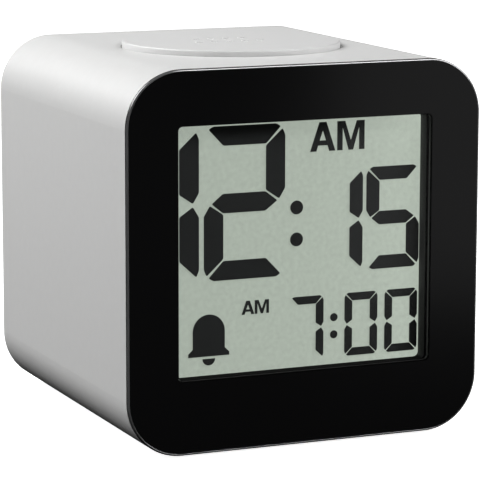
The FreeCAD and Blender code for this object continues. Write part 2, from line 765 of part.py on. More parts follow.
def make_main_board():
    board_x = middle(ZERO, d.main_board_width)
    board_z = middle(CASE_MID, d.main_board_height)
    slab = block("main_slab", board_x, (MAIN_BOARD_FRONT, d.board_thickness), board_z)
    holes = []
    screws = []
    for number, (x, z) in enumerate(board_screw_places(), start=1):
        start = (x, MAIN_BOARD_FRONT, z)
        hole_name = "main_hole_%d" % number
        holes.append(rod(hole_name, "y", d.small_screw_diameter, start, d.board_thickness))
        screws.append(small_screw("main_screw_%d" % number, "y", (x, MAIN_BOARD_BACK, z), 1))
    keep(cut("main", slab, holes), "main_board")
    keep(group("main_screws", screws), "main_board_screws")


def make_board_pieces():
    """The pieces soldered to the back of the main board."""
    blob = doc.addObject("Part::Ellipsoid", "blob")
    blob.Angle1 = 0
    blob.Angle2 = 90
    blob.Placement = FreeCAD.Placement(Vector(), TURNS["y"])
    bind(blob, "Radius1", d.blob_height)
    bind(blob, "Radius2", d.blob_diameter / 2)
    bind(blob, "Radius3", d.blob_diameter / 2)
    place(blob, ZERO, MAIN_BOARD_BACK, CASE_MID)
    keep(blob, "controller_blob")
    can_start = (d.crystal_x, MAIN_BOARD_BACK + d.crystal_diameter / 2, CASE_MID - d.crystal_drop)
    keep(rod("crystal", "z", d.crystal_diameter, can_start, d.crystal_length), "clock_crystal")
    capacitors = []
    for number in range(2):
        rise = CASE_MID - d.capacitor_drop - d.capacitor_pitch * number
        start = (d.capacitor_x, MAIN_BOARD_BACK, rise)
        name = "capacitor_%d" % (number + 1)
        capacitors.append(rod(name, "y", d.capacitor_diameter, start, d.capacitor_height))
    keep(group("capacitors", capacitors), "board_capacitors")


# ---------------------------------------------------------------- snooze button
FLANGE_TOP = CEILING - d.film_gap
FLANGE_BOTTOM = FLANGE_TOP - d.button_flange_thickness
BUTTON_TOP = CASE_TOP + d.button_proud
SNOOZE_SWITCH_BOTTOM = CARRIER_TOP + d.board_thickness
SNOOZE_SWITCH_TOP = SNOOZE_SWITCH_BOTTOM + d.switch_height


def pin_places():
    for number in range(3):
        angle = math.radians(90 + 120 * number)
        yield d.pin_radius * math.cos(angle), BUTTON_Y + d.pin_radius * math.sin(angle)


def pip_places():
    """Two short rows of raised pips, left of the button's middle."""
    row_y = BUTTON_Y - d.pip_row_pitch / 2
    for row, count in ((0, 5), (1, 4)):
        for column in range(count):
            x = d.pip_pitch * (column - (count - 1) / 2) - d.pip_shift
            yield x, row_y + d.pip_row_pitch * row


def make_snooze_button():
    body = new_body("snooze_button")
    disc = new_sketch(body, "button_disc", TOP_PLANE, FLANGE_BOTTOM)
    circle(disc, ZERO, BUTTON_Y, d.button_diameter)
    pad(body, disc, BUTTON_TOP - FLANGE_BOTTOM)
    fillet(body, d.button_round, lambda edge: lies_at(edge, 2, BUTTON_TOP))
    flange = new_sketch(body, "button_flange", TOP_PLANE, FLANGE_BOTTOM)
    flange_diameter = d.button_diameter + 2 * d.slide_gap + 2 * d.button_flange
    circle(flange, ZERO, BUTTON_Y, flange_diameter)
    pad(body, flange, d.button_flange_thickness)
    hollow = new_sketch(body, "button_hollow", TOP_PLANE, FLANGE_BOTTOM)
    circle(hollow, ZERO, BUTTON_Y, d.button_diameter - 2 * d.button_skirt)
    pocket(body, hollow, UNDERSIDE - FLANGE_BOTTOM)
    post_bottom = SNOOZE_SWITCH_TOP + d.plunger_proud
    post = new_sketch(body, "button_post", TOP_PLANE, post_bottom)
    circle(post, ZERO, BUTTON_Y, d.button_post_diameter)
    pad(body, post, UNDERSIDE - post_bottom)
    pins = new_sketch(body, "button_pins", TOP_PLANE, CARRIER_BOTTOM - d.pin_reach)
    for x, y in pin_places():
        circle(pins, x, y, d.pin_diameter)
    pad(body, pins, UNDERSIDE - CARRIER_BOTTOM + d.pin_reach)
    pips = new_sketch(body, "button_pips", TOP_PLANE, BUTTON_TOP)
    for x, y in pip_places():
        circle(pips, x, y, d.pip_diameter)
    pad(body, pips, d.pip_height)


def make_button_carrier():
    plate = block(
        "carrier_plate",
        middle(ZERO, d.carrier_width),
        middle(BUTTON_Y, d.carrier_depth),
        between(CARRIER_BOTTOM, CARRIER_TOP),
    )
    holes = []
    for number, (x, y) in enumerate(pin_places(), start=1):
        bore = d.pin_diameter + 2 * d.slide_gap
        start = (x, y, CARRIER_BOTTOM)
        holes.append(rod("pin_bore_%d" % number, "z", bore, start, d.carrier_thickness))
    screws = []
    for number, (x, y) in enumerate(carrier_places(), start=1):
        start = (x, y, CARRIER_BOTTOM)
        bore = d.small_screw_diameter
        holes.append(rod("carrier_bore_%d" % number, "z", bore, start, d.carrier_thickness))
        screws.append(small_screw("carrier_screw_%d" % number, "z", start, -1))
    drilled = cut("carrier_drilled", plate, holes)
    pegs = []
    peg_bores = []
    for side in (-1, 1):
        start = (d.peg_pitch / 2 * side, BUTTON_Y, CARRIER_TOP)
        peg_length = d.board_thickness + d.peg_proud
        name = "peg_%s" % ("left" if side < 0 else "right")
        pegs.append(rod(name, "z", d.peg_diameter, start, peg_length))
        peg_bores.append(rod(name + "_bore", "z", d.peg_diameter, start, d.board_thickness))
    keep(fuse("carrier", [drilled] + pegs), "button_carrier")
    keep(group("carrier_screws_all", screws), "carrier_screws")
    slab = block(
        "snooze_slab",
        middle(ZERO, d.snooze_board_width),
        middle(BUTTON_Y, d.snooze_board_depth),
        (CARRIER_TOP, d.board_thickness),
    )
    keep(cut("snooze_board_drilled", slab, peg_bores), "snooze_board")


PLUNGER_LENGTH = d.plunger_sunk + d.plunger_proud
PLUNGER_WELL = d.plunger_sunk + d.button_travel + d.film_gap


def make_snooze_switch():
    can = block(
        "snooze_can",
        middle(ZERO, d.switch_side),
        middle(BUTTON_Y, d.switch_side),
        (SNOOZE_SWITCH_BOTTOM, d.switch_height),
    )
    well_start = (ZERO, BUTTON_Y, SNOOZE_SWITCH_TOP - PLUNGER_WELL)
    well = rod("snooze_well", "z", d.plunger_diameter + d.slide_gap, well_start, PLUNGER_WELL)
    keep(cut("snooze_body", can, [well]), "snooze_switch")
    start = (ZERO, BUTTON_Y, SNOOZE_SWITCH_TOP - d.plunger_sunk)
    keep(rod("snooze_stem", "z", d.plunger_diameter, start, PLUNGER_LENGTH), "snooze_plunger")


def coil(radius, wire, length, turns):
    """A helical spring along +Z from the origin, with its ends inside its length."""
    run = length - wire
    path = Part.makeHelix(run / turns, run, radius)
    path.translate(Vector(0, 0, wire / 2))
    section = Part.makeCircle(wire / 2, Vector(radius, 0, wire / 2), Vector(0, 1, 0))
    return Part.Wire(path.Edges).makePipeShell([Part.Wire([section])], True, True)


def coil_feature(name, shape, placement):
    item = doc.addObject("Part::Feature", name)
    item.Shape = shape
    item.Placement = placement
    return item


def make_button_springs():
    wire = d.spring_wire.value
    length = d.carrier_drop.value
    radius = d.pin_diameter.value / 2 + d.slide_gap.value + wire / 2
    shape = coil(radius, wire, length, d.spring_turns.value)
    springs = []
    for number, (x, y) in enumerate(pin_places(), start=1):
        placement = FreeCAD.Placement(Vector(x.value, y.value, CARRIER_TOP.value), FreeCAD.Rotation())
        springs.append(coil_feature("button_spring_%d" % number, shape, placement))
    keep(group("button_springs_all", springs), "button_springs")


# ---------------------------------------------------------------- batteries
TRAY_HALF = d.cell_length / 2 + d.contact_room / 2 + d.contact_thickness
CELL_ROOM = d.cell_diameter + d.cell_gap
TRAY_BOTTOM = d.tray_rise
TRAY_TOP = TRAY_BOTTOM + CELL_ROOM * 2
DOOR_FRONT = COVER_BACK - d.door_thickness
CELL_Y = DOOR_FRONT - d.cell_gap - d.cell_diameter / 2
TRAY_FLOOR = CELL_Y - d.cell_diameter / 2 - d.cell_gap
DOOR_SEAT = DOOR_FRONT - d.film_gap
OPENING_HALF = TRAY_HALF + d.door_land
OPENING_BOTTOM = TRAY_BOTTOM - d.door_land
OPENING_TOP = TRAY_TOP + d.door_land
CELLS = (("lower", TRAY_BOTTOM + CELL_ROOM / 2, -1), ("upper", TRAY_BOTTOM + CELL_ROOM * 3 / 2, 1))


def make_cells():
    for name, rise, nub_side in CELLS:
        can_length = d.cell_length - d.nub_length
        nub_tip = TRAY_HALF - d.contact_thickness
        can_end = (nub_tip - d.nub_length) * nub_side
        can_start = can_end if nub_side < 0 else can_end - can_length
        nub_start = can_end - d.nub_length if nub_side < 0 else can_end
        can = rod(name + "_can", "x", d.cell_diameter, (can_start, CELL_Y, rise), can_length)
        nub = rod(name + "_nub", "x", d.nub_diameter, (nub_start, CELL_Y, rise), d.nub_length)
        keep(fuse(name + "_cell", [can, nub]), "battery_" + name)


def make_contacts():
    """Plates at both ends of the tray, with solder tails through its floor."""
    plate = d.contact_thickness
    left_x = (-TRAY_HALF, plate)
    right_x = (TRAY_HALF - plate, plate)
    plate_y = middle(CELL_Y, d.contact_height)
    lower_z, upper_z = CELLS[0][1], CELLS[1][1]
    bridge_z = between(lower_z - d.contact_height / 2, upper_z + d.contact_height / 2)
    keep(block("bridge", left_x, plate_y, bridge_z), "contact_bridge")
    tail_y = between(TRAY_FLOOR - d.tray_wall - d.contact_tail, CELL_Y)
    for label, rise in (("contact_positive", upper_z), ("contact_negative", lower_z)):
        blade = block(label + "_blade", right_x, plate_y, middle(rise, d.contact_height))
        tail = block(label + "_tail", right_x, tail_y, middle(rise, d.contact_tail))
        keep(fuse(label + "_plate", [blade, tail]), label)
    wire = d.spring_wire.value
    length = d.contact_room.value
    radius = (d.contact_spring_diameter.value - wire) / 2
    shape = coil(radius, wire, length, d.contact_spring_turns.value)
    springs = []
    for name, rise, nub_side in CELLS:
        reach = TRAY_HALF.value - d.contact_thickness.value
        start = -reach if nub_side > 0 else reach - length
        at = Vector(start, CELL_Y.value, rise.value)
        spring = coil_feature("cell_spring_" + name, shape, FreeCAD.Placement(at, TURNS["x"]))
        springs.append(spring)
    keep(group("cell_springs", springs), "battery_springs")


# ---------------------------------------------------------------- back cover
KEY_NAMES = ("mode", "up", "down", "light")
KEY_FLANGE_BACK = COVER_FRONT - d.film_gap
KEY_FLANGE_FRONT = KEY_FLANGE_BACK - d.key_flange_thickness
KEY_SWITCH_BACK = KEY_FLANGE_FRONT - d.plunger_proud
KEY_BOARD_BACK = KEY_SWITCH_BACK - d.switch_height
KEY_BOARD_FRONT = KEY_BOARD_BACK - d.board_thickness
SLOT_COUNT = 4
OPENING_GAP = d.slide_gap
NOTCH_BOTTOM = OPENING_BOTTOM - d.tab_reach - d.hook_room
NOTCH_TOP = OPENING_BOTTOM + OPENING_GAP + d.tab_thickness + d.hook_swing
SLIDER_SLOT_HALF = (d.slider_grip_width + d.slider_travel) / 2 + d.slide_gap


def key_places():
    for number, name in enumerate(KEY_NAMES):
        yield name, d.key_pitch * (number - (len(KEY_NAMES) - 1) / 2)


def tab_places():
    for side in (-1, 1):
        yield d.tab_pitch / 2 * side


def make_back_cover():
    body = new_body("back_cover")
    plate = front_sketch(body, "cover_plate", COVER_FRONT)
    half = INNER_HALF - d.fit_gap
    bottom = CASE_BOTTOM + d.case_wall + d.fit_gap
    rounded_rectangle(plate, half, bottom, CEILING - d.fit_gap, INNER_RADIUS - d.fit_gap)
    pad(body, plate, d.cover_thickness)
    tray = front_sketch(body, "tray_outside", TRAY_FLOOR - d.tray_wall)
    wall = d.tray_wall
    rectangle(tray, -TRAY_HALF - wall, TRAY_HALF + wall, TRAY_BOTTOM - wall, TRAY_TOP + wall)
    pad(body, tray, COVER_FRONT - TRAY_FLOOR + d.tray_wall)
    posts = front_sketch(body, "key_posts", KEY_BOARD_BACK)
    for side in (-1, 1):
        circle(posts, d.key_screw_x * side, KEY_SCREW_Z, d.key_post_diameter)
    pad(body, posts, COVER_FRONT - KEY_BOARD_BACK)
    opening = front_sketch(body, "door_opening", COVER_BACK)
    rectangle(opening, -OPENING_HALF, OPENING_HALF, OPENING_BOTTOM, OPENING_TOP)
    pocket(body, opening, COVER_BACK - DOOR_SEAT, way=-1)
    inside = front_sketch(body, "tray_inside", DOOR_SEAT)
    rectangle(inside, -TRAY_HALF, TRAY_HALF, TRAY_BOTTOM, TRAY_TOP)
    pocket(body, inside, DOOR_SEAT - TRAY_FLOOR, way=-1)
    hooks = front_sketch(body, "hook_notches", COVER_FRONT)
    for x in tab_places():
        reach = d.tab_width / 2 + d.slide_gap
        rectangle(hooks, x - reach, x + reach, NOTCH_BOTTOM, NOTCH_TOP)
    notch_depth = d.tab_thickness + d.tab_reach + 2 * d.slide_gap
    pocket(body, hooks, notch_depth, way=-1)
    lands = front_sketch(body, "hook_lands", DOOR_SEAT)
    for x in tab_places():
        reach = d.tab_width / 2 + d.slide_gap
        rectangle(lands, x - reach, x + reach, OPENING_BOTTOM, NOTCH_TOP)
    pocket(body, lands, DOOR_SEAT - COVER_FRONT, way=-1)
    thumb = front_sketch(body, "thumb_scoop", COVER_BACK)
    thumb_half = d.thumb_width / 2
    rectangle(thumb, -thumb_half, thumb_half, OPENING_TOP - d.film_gap, OPENING_TOP + d.thumb_height)
    pocket(body, thumb, d.thumb_depth, way=-1)
    holes = front_sketch(body, "cover_holes", COVER_BACK)
    for name, x in key_places():
        circle(holes, x, KEY_Z, d.key_diameter + 2 * d.slide_gap)
    for x, z in corner_places():
        circle(holes, x, z, d.case_screw_diameter + d.slide_gap)
    slot_half = d.slider_grip_height / 2 + d.slide_gap
    rectangle(
        holes,
        d.slider_x - SLIDER_SLOT_HALF,
        d.slider_x + SLIDER_SLOT_HALF,
        SLIDER_Z - slot_half,
        SLIDER_Z + slot_half,
    )
    for number in range(SLOT_COUNT):
        x = d.sounder_x + d.slot_pitch * (number - (SLOT_COUNT - 1) / 2)
        low = SLIDER_Z - d.slot_height / 2
        rectangle(holes, x - d.slot_width / 2, x + d.slot_width / 2, low, low + d.slot_height)
    pocket(body, holes, d.cover_thickness, way=-1)
    heads = front_sketch(body, "screw_counterbores", COVER_BACK)
    for x, z in corner_places():
        circle(heads, x, z, d.case_head_diameter + 2 * d.slide_gap)
    pocket(body, heads, d.case_head_height + d.film_gap, way=-1)
    pilots = front_sketch(body, "key_pilots", KEY_BOARD_BACK)
    for side in (-1, 1):
        circle(pilots, d.key_screw_x * side, KEY_SCREW_Z, d.small_screw_diameter)
    pocket(body, pilots, d.small_screw_length - d.board_thickness)
    tails = front_sketch(body, "contact_slots", TRAY_FLOOR)
    for name, rise, nub_side in CELLS:
        slot = d.contact_tail / 2 + d.film_gap
        inner = TRAY_HALF - d.contact_thickness - d.film_gap
        rectangle(tails, inner, TRAY_HALF, rise - slot, rise + slot)
    pocket(body, tails, d.tray_wall, way=-1)


def make_case_screws():
    screws = []
    head_back = COVER_BACK - d.film_gap
    head_front = head_back - d.case_head_height
    for number, (x, z) in enumerate(corner_places(), start=1):
        name = "case_screw_%d" % number
        head = rod(name + "_cap", "y", d.case_head_diameter, (x, head_front, z), d.case_head_height)
        shank_start = COVER_FRONT - d.case_screw_length + d.film_gap
        shank_y = between(shank_start, head_front)
        shank = rod(name + "_stem", "y", d.case_screw_diameter, (x, shank_y[0], z), shank_y[1])
        solid = fuse(name + "_blank", [head, shank])
        slot_x = middle(x, d.case_slot_length)
        slot_z = middle(z, d.case_slot_length)
        slot_y = between(head_back - d.case_slot_depth, head_back)
        narrow_x = middle(x, d.case_slot_width)
        narrow_z = middle(z, d.case_slot_width)
        tools = [
            block(name + "_slot_a", slot_x, slot_y, narrow_z),
            block(name + "_slot_b", narrow_x, slot_y, slot_z),
        ]
        screws.append(cut(name, solid, tools))
    keep(group("case_screws_all", screws), "case_screws")


def make_battery_door():
    gap = OPENING_GAP
    body = new_body("battery_door")
    plate = front_sketch(body, "door_plate", DOOR_FRONT)
    door_half = OPENING_HALF - gap
    rectangle(plate, -door_half, door_half, OPENING_BOTTOM + gap, OPENING_TOP - gap)
    pad(body, plate, d.door_thickness)
    tab_back = COVER_FRONT - d.slide_gap
    tab_front = tab_back - d.tab_thickness
    roots = front_sketch(body, "tab_roots", tab_front)
    for x in tab_places():
        half = d.tab_width / 2
        low = OPENING_BOTTOM + gap
        rectangle(roots, x - half, x + half, low, low + d.tab_thickness)
    pad(body, roots, DOOR_FRONT - tab_front)
    tabs = front_sketch(body, "tabs", tab_front)
    for x in tab_places():
        half = d.tab_width / 2
        low = OPENING_BOTTOM + gap
        rectangle(tabs, x - half, x + half, low - d.tab_reach, low)
    pad(body, tabs, d.tab_thickness)
    slots = front_sketch(body, "tongue_slots", COVER_BACK)
    for side in (-1, 1):
        edge = d.tongue_width / 2 * side
        far = edge + d.tongue_slot * side
        left, right = (far, edge) if side < 0 else (edge, far)
        rectangle(slots, left, right, OPENING_TOP - gap - d.tongue_length, OPENING_TOP)
    pocket(body, slots, d.door_thickness, way=-1)
    ridge = front_sketch(body, "tongue_ridge", COVER_BACK)
    ridge_half = d.tongue_width / 2 - d.ridge_inset
    top = OPENING_TOP - gap - d.ridge_inset
    rectangle(ridge, -ridge_half, ridge_half, top - d.ridge_width, top)
    pad(body, ridge, d.cover_inset)


# ---------------------------------------------------------------- keys, switches and sounder
def make_key_board():
    board_x = middle(ZERO, d.key_board_width)
    board_y = (KEY_BOARD_FRONT, d.board_thickness)
    slab = block("key_slab", board_x, board_y, (KEY_BOARD_BOTTOM, d.key_board_height))
    holes = []
    screws = []
    for side, word in ((-1, "left"), (1, "right")):
        start = (d.key_screw_x * side, KEY_BOARD_FRONT, KEY_SCREW_Z)
        bore = d.small_screw_diameter
        holes.append(rod("key_bore_" + word, "y", bore, start, d.board_thickness))
        screws.append(small_screw("key_screw_" + word, "y", start, -1))
    keep(cut("key_board_drilled", slab, holes), "key_board")
    keep(group("key_screws", screws), "key_board_screws")


def make_key_switches():
    well_depth = d.plunger_sunk + d.key_travel + d.film_gap
    cans = []
    for name, x in key_places():
        can = block(
            name + "_can",
            middle(x, d.switch_side),
            (KEY_BOARD_BACK, d.switch_height),
            middle(KEY_Z, d.switch_side),
        )
        well_start = (x, KEY_SWITCH_BACK - well_depth, KEY_Z)
        well = rod(name + "_well", "y", d.plunger_diameter + d.slide_gap, well_start, well_depth)
        cans.append(cut(name + "_switch", can, [well]))
        start = (x, KEY_SWITCH_BACK - d.plunger_sunk, KEY_Z)
        stem = rod(name + "_stem", "y", d.plunger_diameter, start, PLUNGER_LENGTH)
        keep(stem, name + "_plunger")
    keep(group("key_switches_all", cans), "key_switches")


def make_keys():
    for name, x in key_places():
        label = name + "_key"
        body = new_body(label)
        cap = front_sketch(body, label + "_cap", KEY_FLANGE_BACK)
        circle(cap, x, KEY_Z, d.key_diameter)
        pad(body, cap, REAR_RIM - KEY_FLANGE_BACK)
        fillet(body, d.key_round, lambda edge: lies_at(edge, 1, REAR_RIM))
        flange = front_sketch(body, label + "_flange", KEY_FLANGE_FRONT)
        circle(flange, x, KEY_Z, d.key_flange_diameter)
        pad(body, flange, d.key_flange_thickness)


def make_alarm_switch():
    """Rest is OFF, at the -X end of the slot."""
    can_back = KEY_BOARD_BACK + d.slider_can_depth
    can = block(
        "slider_can",
        middle(d.slider_x, d.slider_can_width),
        (KEY_BOARD_BACK, d.slider_can_depth),
        middle(SLIDER_Z, d.slider_can_height),
    )
    track_depth = d.slider_track_depth
    track = block(
        "slider_track",
        middle(d.slider_x, d.slider_stem + d.slider_travel + 2 * d.slide_gap),
        (can_back - track_depth, track_depth),
        middle(SLIDER_Z, d.slider_stem + 2 * d.slide_gap),
    )
    keep(cut("slider_body", can, [track]), "alarm_switch_body")
    knob_x = d.slider_x - d.slider_travel / 2
    base_back = COVER_FRONT - d.film_gap
    base_front = base_back - d.slider_base_thickness
    margin = 2 * d.slider_base_margin
    base = block(
        "knob_base",
        middle(knob_x, d.slider_grip_width + margin),
        (base_front, d.slider_base_thickness),
        middle(SLIDER_Z, d.slider_grip_height + margin),
    )
    grip = block(
        "knob_grip",
        middle(knob_x, d.slider_grip_width),
        between(base_back, REAR_RIM),
        middle(SLIDER_Z, d.slider_grip_height),
    )
    stem = block(
        "knob_stem",
        middle(knob_x, d.slider_stem),
        between(can_back - track_depth + d.film_gap, base_front),
        middle(SLIDER_Z, d.slider_stem),
    )
    grooves = []
    for number in (-1, 0, 1):
        groove_x = middle(knob_x + number * d.slider_groove_pitch, d.slider_groove_width)
        groove_y = (REAR_RIM - d.slider_groove_depth, d.slider_groove_depth)
        groove_z = middle(SLIDER_Z, d.slider_grip_height)
        grooves.append(block("knob_groove_%d" % (number + 2), groove_x, groove_y, groove_z))
    blank = fuse("knob_blank", [base, grip, stem])
    keep(cut("knob", blank, grooves), "alarm_switch_knob")


def make_sounder():
    start = (d.sounder_x, KEY_BOARD_BACK, SLIDER_Z)
    can = rod("sounder_can", "y", d.sounder_diameter, start, d.sounder_height)
    mouth_depth = d.sounder_mouth_depth
    mouth_start = (d.sounder_x, KEY_BOARD_BACK + d.sounder_height - mouth_depth, SLIDER_Z)
    mouth = rod("sounder_mouth", "y", d.sounder_mouth_diameter, mouth_start, mouth_depth)
    keep(cut("sounder_body", can, [mouth]), "sounder")


# ---------------------------------------------------------------- wiring
def make_ribbon(label, width, rise, end_y, sag):
    """A flat cable from the back of the main board, in one shallow arc; a negative sag bows up."""
    start_y = MAIN_BOARD_BACK.value
    mid_y = (start_y + end_y.value) / 2
    low = rise.value
    high = low + d.ribbon_thickness.value

    def line_at(level):
        bottom = Vector(0, mid_y, level - sag.value)
        return Vector(0, start_y, level), bottom, Vector(0, end_y.value, level)

    lower = line_at(low)
    upper = line_at(high)
    edges = [
        Part.Arc(*lower).toShape(),
        Part.makeLine(lower[2], upper[2]),
        Part.Arc(*reversed(upper)).toShape(),
        Part.makeLine(upper[0], lower[0]),
    ]
    face = Part.Face(Part.Wire(edges))
    item = doc.addObject("Part::Feature", label + "_strip")
    item.Shape = face.extrude(Vector(width.value, 0, 0))
    item.Placement = FreeCAD.Placement(Vector(-width.value / 2, 0, 0), FreeCAD.Rotation())
    keep(item, label)


def make_ribbons():
    key_rise = KEY_BOARD_BOTTOM + d.key_ribbon_rise
    make_ribbon("key_ribbon", d.key_ribbon_width, key_rise, KEY_BOARD_FRONT, d.key_ribbon_sag)
    snooze_end = BUTTON_Y - d.snooze_board_depth / 2
    rise = CARRIER_TOP + d.film_gap
    make_ribbon("snooze_ribbon", d.snooze_ribbon_width, rise, snooze_end, -d.snooze_ribbon_sag)


BEND_SHARE = 0.45


def rounded_path(points):
    """Straight runs joined by tangent arcs; each arc takes BEND_SHARE of the shorter run beside it."""
    edges = []
    start = points[0]
    for before, corner, after in zip(points, points[1:], points[2:]):
        inward = before - corner
        outward = after - corner
        trim = BEND_SHARE * min(inward.Length, outward.Length)
        inward.normalize()
        outward.normalize()
        half_turn = (math.pi - inward.getAngle(outward)) / 2
        radius = trim / math.tan(half_turn)
        entry = corner + inward * trim
        leave = corner + outward * trim
        bisector = (inward + outward).normalize()
        centre = corner + bisector * (radius / math.cos(half_turn))
        middle_point = centre - bisector * radius
        edges.append(Part.makeLine(start, entry))
        edges.append(Part.Arc(entry, middle_point, leave).toShape())
        start = leave
    edges.append(Part.makeLine(start, points[-1]))
    return Part.Wire(edges)


def make_wire(label, points):
    path = rounded_path(points)
    direction = points[1] - points[0]
    section = Part.Wire([Part.makeCircle(d.wire_diameter.value / 2, points[0], direction)])
    item = doc.addObject("Part::Feature", label + "_tube")
    item.Shape = path.makePipeShell([section], True, False)
    expected = math.pi * (d.wire_diameter.value / 2) ** 2 * path.Length
    if abs(item.Shape.Volume / expected - 1) > 0.02:
        raise RuntimeError("wire %s is not a plain tube" % label)
    keep(item, label)


def make_wires():
    """Leads from the contact tails to the back of the main board."""
    tail_y = (TRAY_FLOOR - d.tray_wall - d.contact_tail).value
    tail_x = (TRAY_HALF - d.contact_thickness / 2).value
    board_y = MAIN_BOARD_BACK.value
    half_x = (d.main_board_width / 2).value
    leads = (
        ("battery_wire_red", CELLS[1][1].value, d.red_pad_inset.value),
        ("battery_wire_black", CELLS[0][1].value, d.black_pad_inset.value),
    )
    for label, rise, inset in leads:
        pad_x = half_x - inset
        pad_z = rise + d.wire_lift.value
        swing_y = tail_y - (tail_y - board_y) / 3
        points = [
            Vector(tail_x, tail_y, rise),
            Vector(tail_x, swing_y, rise),
            Vector(pad_x, (swing_y + board_y) / 2, pad_z),
            Vector(pad_x, board_y, pad_z),
        ]
        make_wire(label, points)


make_case_shell()
make_feet()
make_front_bezel()
make_window_lens()
make_lcd()
make_lcd_frame()
make_main_board()
make_board_pieces()
make_snooze_button()
make_button_carrier()
make_snooze_switch()
make_button_springs()
make_back_cover()
make_case_screws()
make_battery_door()
make_cells()
make_contacts()
make_key_board()
make_key_switches()
make_keys()
make_alarm_switch()
make_sounder()
make_ribbons()
make_wires()
doc.recompute()

# ---------------------------------------------------------------- checks and export
for item in doc.Objects:
    if "Invalid" in item.State or "Error" in item.State:
        raise RuntimeError("%s did not build" % item.Label)
for item in parts:
    if item.Shape.isNull() or not item.Shape.isValid() or not item.Shape.Solids:
        raise RuntimeError("%s has no valid shape" % item.Label)

os.makedirs("parts", exist_ok=True)
for item in parts:
    item.Shape.exportStep("parts/%s.step" % item.Label)
    print("%-24s %2d solids %10.1f mm3" % (item.Label, len(item.Shape.Solids), item.Shape.Volume))
print(len(parts), "parts")
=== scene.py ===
"""Looks of the cube alarm clock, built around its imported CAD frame.

The frame is in metres. Layout sizes below are in millimetres and go through MM.
The clock stands on z = 0, its display faces -Y and +X is to the right seen from the front.
"""

import json
import math

import bmesh
import bpy
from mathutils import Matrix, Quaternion, Vector


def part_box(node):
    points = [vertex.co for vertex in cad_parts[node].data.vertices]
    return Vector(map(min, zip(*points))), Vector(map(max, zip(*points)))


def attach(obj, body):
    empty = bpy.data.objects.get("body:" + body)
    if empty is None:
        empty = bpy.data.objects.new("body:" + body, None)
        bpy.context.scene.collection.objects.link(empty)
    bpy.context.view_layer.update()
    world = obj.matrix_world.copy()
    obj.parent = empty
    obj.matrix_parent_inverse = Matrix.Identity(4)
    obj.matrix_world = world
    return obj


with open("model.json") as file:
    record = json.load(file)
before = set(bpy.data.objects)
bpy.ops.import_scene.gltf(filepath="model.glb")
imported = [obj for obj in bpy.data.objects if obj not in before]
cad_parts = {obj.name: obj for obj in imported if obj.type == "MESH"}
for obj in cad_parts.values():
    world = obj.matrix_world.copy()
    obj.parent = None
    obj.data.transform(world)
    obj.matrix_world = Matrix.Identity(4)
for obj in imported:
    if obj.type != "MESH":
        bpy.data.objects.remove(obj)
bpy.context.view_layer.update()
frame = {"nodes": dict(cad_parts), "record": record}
NODES = frame["nodes"]
ROOT = "clock"
MM = 0.001


# ---------------------------------------------------------------- materials
# the display's glow, painted light standing in for the light its reflector sends back: its
# strength, its tint, and its level by place across and up the display, raised towards the right
# edge and the top as painted light against the shade of the window's walls
PAINTED_GLOW_STRENGTH = 0.512
PAINTED_GLOW_TINT = (0.885, 1.0, 0.862)
PAINTED_GLOW_ACROSS = ((-21.2, 0.79), (2.0, 0.825), (13.0, 0.87), (20.6, 1.0))
PAINTED_GLOW_UPWARD = ((11.0, 0.93), (46.0, 0.935), (51.8, 1.0))
# how far the painted glow rises and falls with the fine sparkle
SPARKLE = 0.045
# most of a noise's values lie between these two
NOISE_LOW, NOISE_HIGH = 0.3, 0.7
# a moulded surface's slow changes: how many in a metre, and how far its gloss goes up and down
TONE_PER_M = 45
GLOSS_CHANGE = 0.08
GRAIN_STRENGTH = 0.35
# a clear pane's reflection grows with this power of how far it is seen edge-on
GRAZING_POWER = 5
# the painted light's change from a lining's paler side walls to its darker top and bottom lies
# between these two distances inside its side wall
PAINTED_LIGHT_FADE = (0.4, 0.1)


def new_material(name, color, roughness):
    """A material with a Principled shader, returned with its node tree and that shader."""
    material = bpy.data.materials.new(name)
    material.use_nodes = True
    tree = material.node_tree
    shader = tree.nodes["Principled BSDF"]
    shader.inputs["Base Color"].default_value = (*color, 1)
    shader.inputs["Roughness"].default_value = roughness
    return material, tree, shader


def noise(tree, scale, detail):
    """Noise fixed to the object, scale in features per metre."""
    place = tree.nodes.new("ShaderNodeTexCoord")
    node = tree.nodes.new("ShaderNodeTexNoise")
    node.inputs["Scale"].default_value = scale
    node.inputs["Detail"].default_value = detail
    tree.links.new(place.outputs["Object"], node.inputs["Vector"])
    return node.outputs["Fac"]


def spread(tree, source, low, high):
    """Maps a noise to the span from low to high."""
    node = tree.nodes.new("ShaderNodeMapRange")
    node.inputs["From Min"].default_value = NOISE_LOW
    node.inputs["From Max"].default_value = NOISE_HIGH
    node.inputs["To Min"].default_value = low
    node.inputs["To Max"].default_value = high
    tree.links.new(source, node.inputs["Value"])
    return node.outputs["Result"]


def vary_color(tree, shader, source, color, amount):
    """Lightens and darkens a colour by an amount, as the source's noise says."""
    ramp = tree.nodes.new("ShaderNodeValToRGB")
    dark, pale = ramp.color_ramp.elements
    dark.position, pale.position = NOISE_LOW, NOISE_HIGH
    dark.color = (*[level * (1 - amount) for level in color], 1)
    pale.color = (*[min(1, level * (1 + amount)) for level in color], 1)
    tree.links.new(source, ramp.inputs["Fac"])
    tree.links.new(ramp.outputs["Color"], shader.inputs["Base Color"])


def add_grain(tree, shader, source, depth_mm, strength=GRAIN_STRENGTH):
    """Bumps as deep as depth_mm, where the source is high."""
    bump = tree.nodes.new("ShaderNodeBump")
    bump.inputs["Distance"].default_value = depth_mm * MM
    bump.inputs["Strength"].default_value = strength
    tree.links.new(source, bump.inputs["Height"])
    tree.links.new(bump.outputs["Normal"], shader.inputs["Normal"])


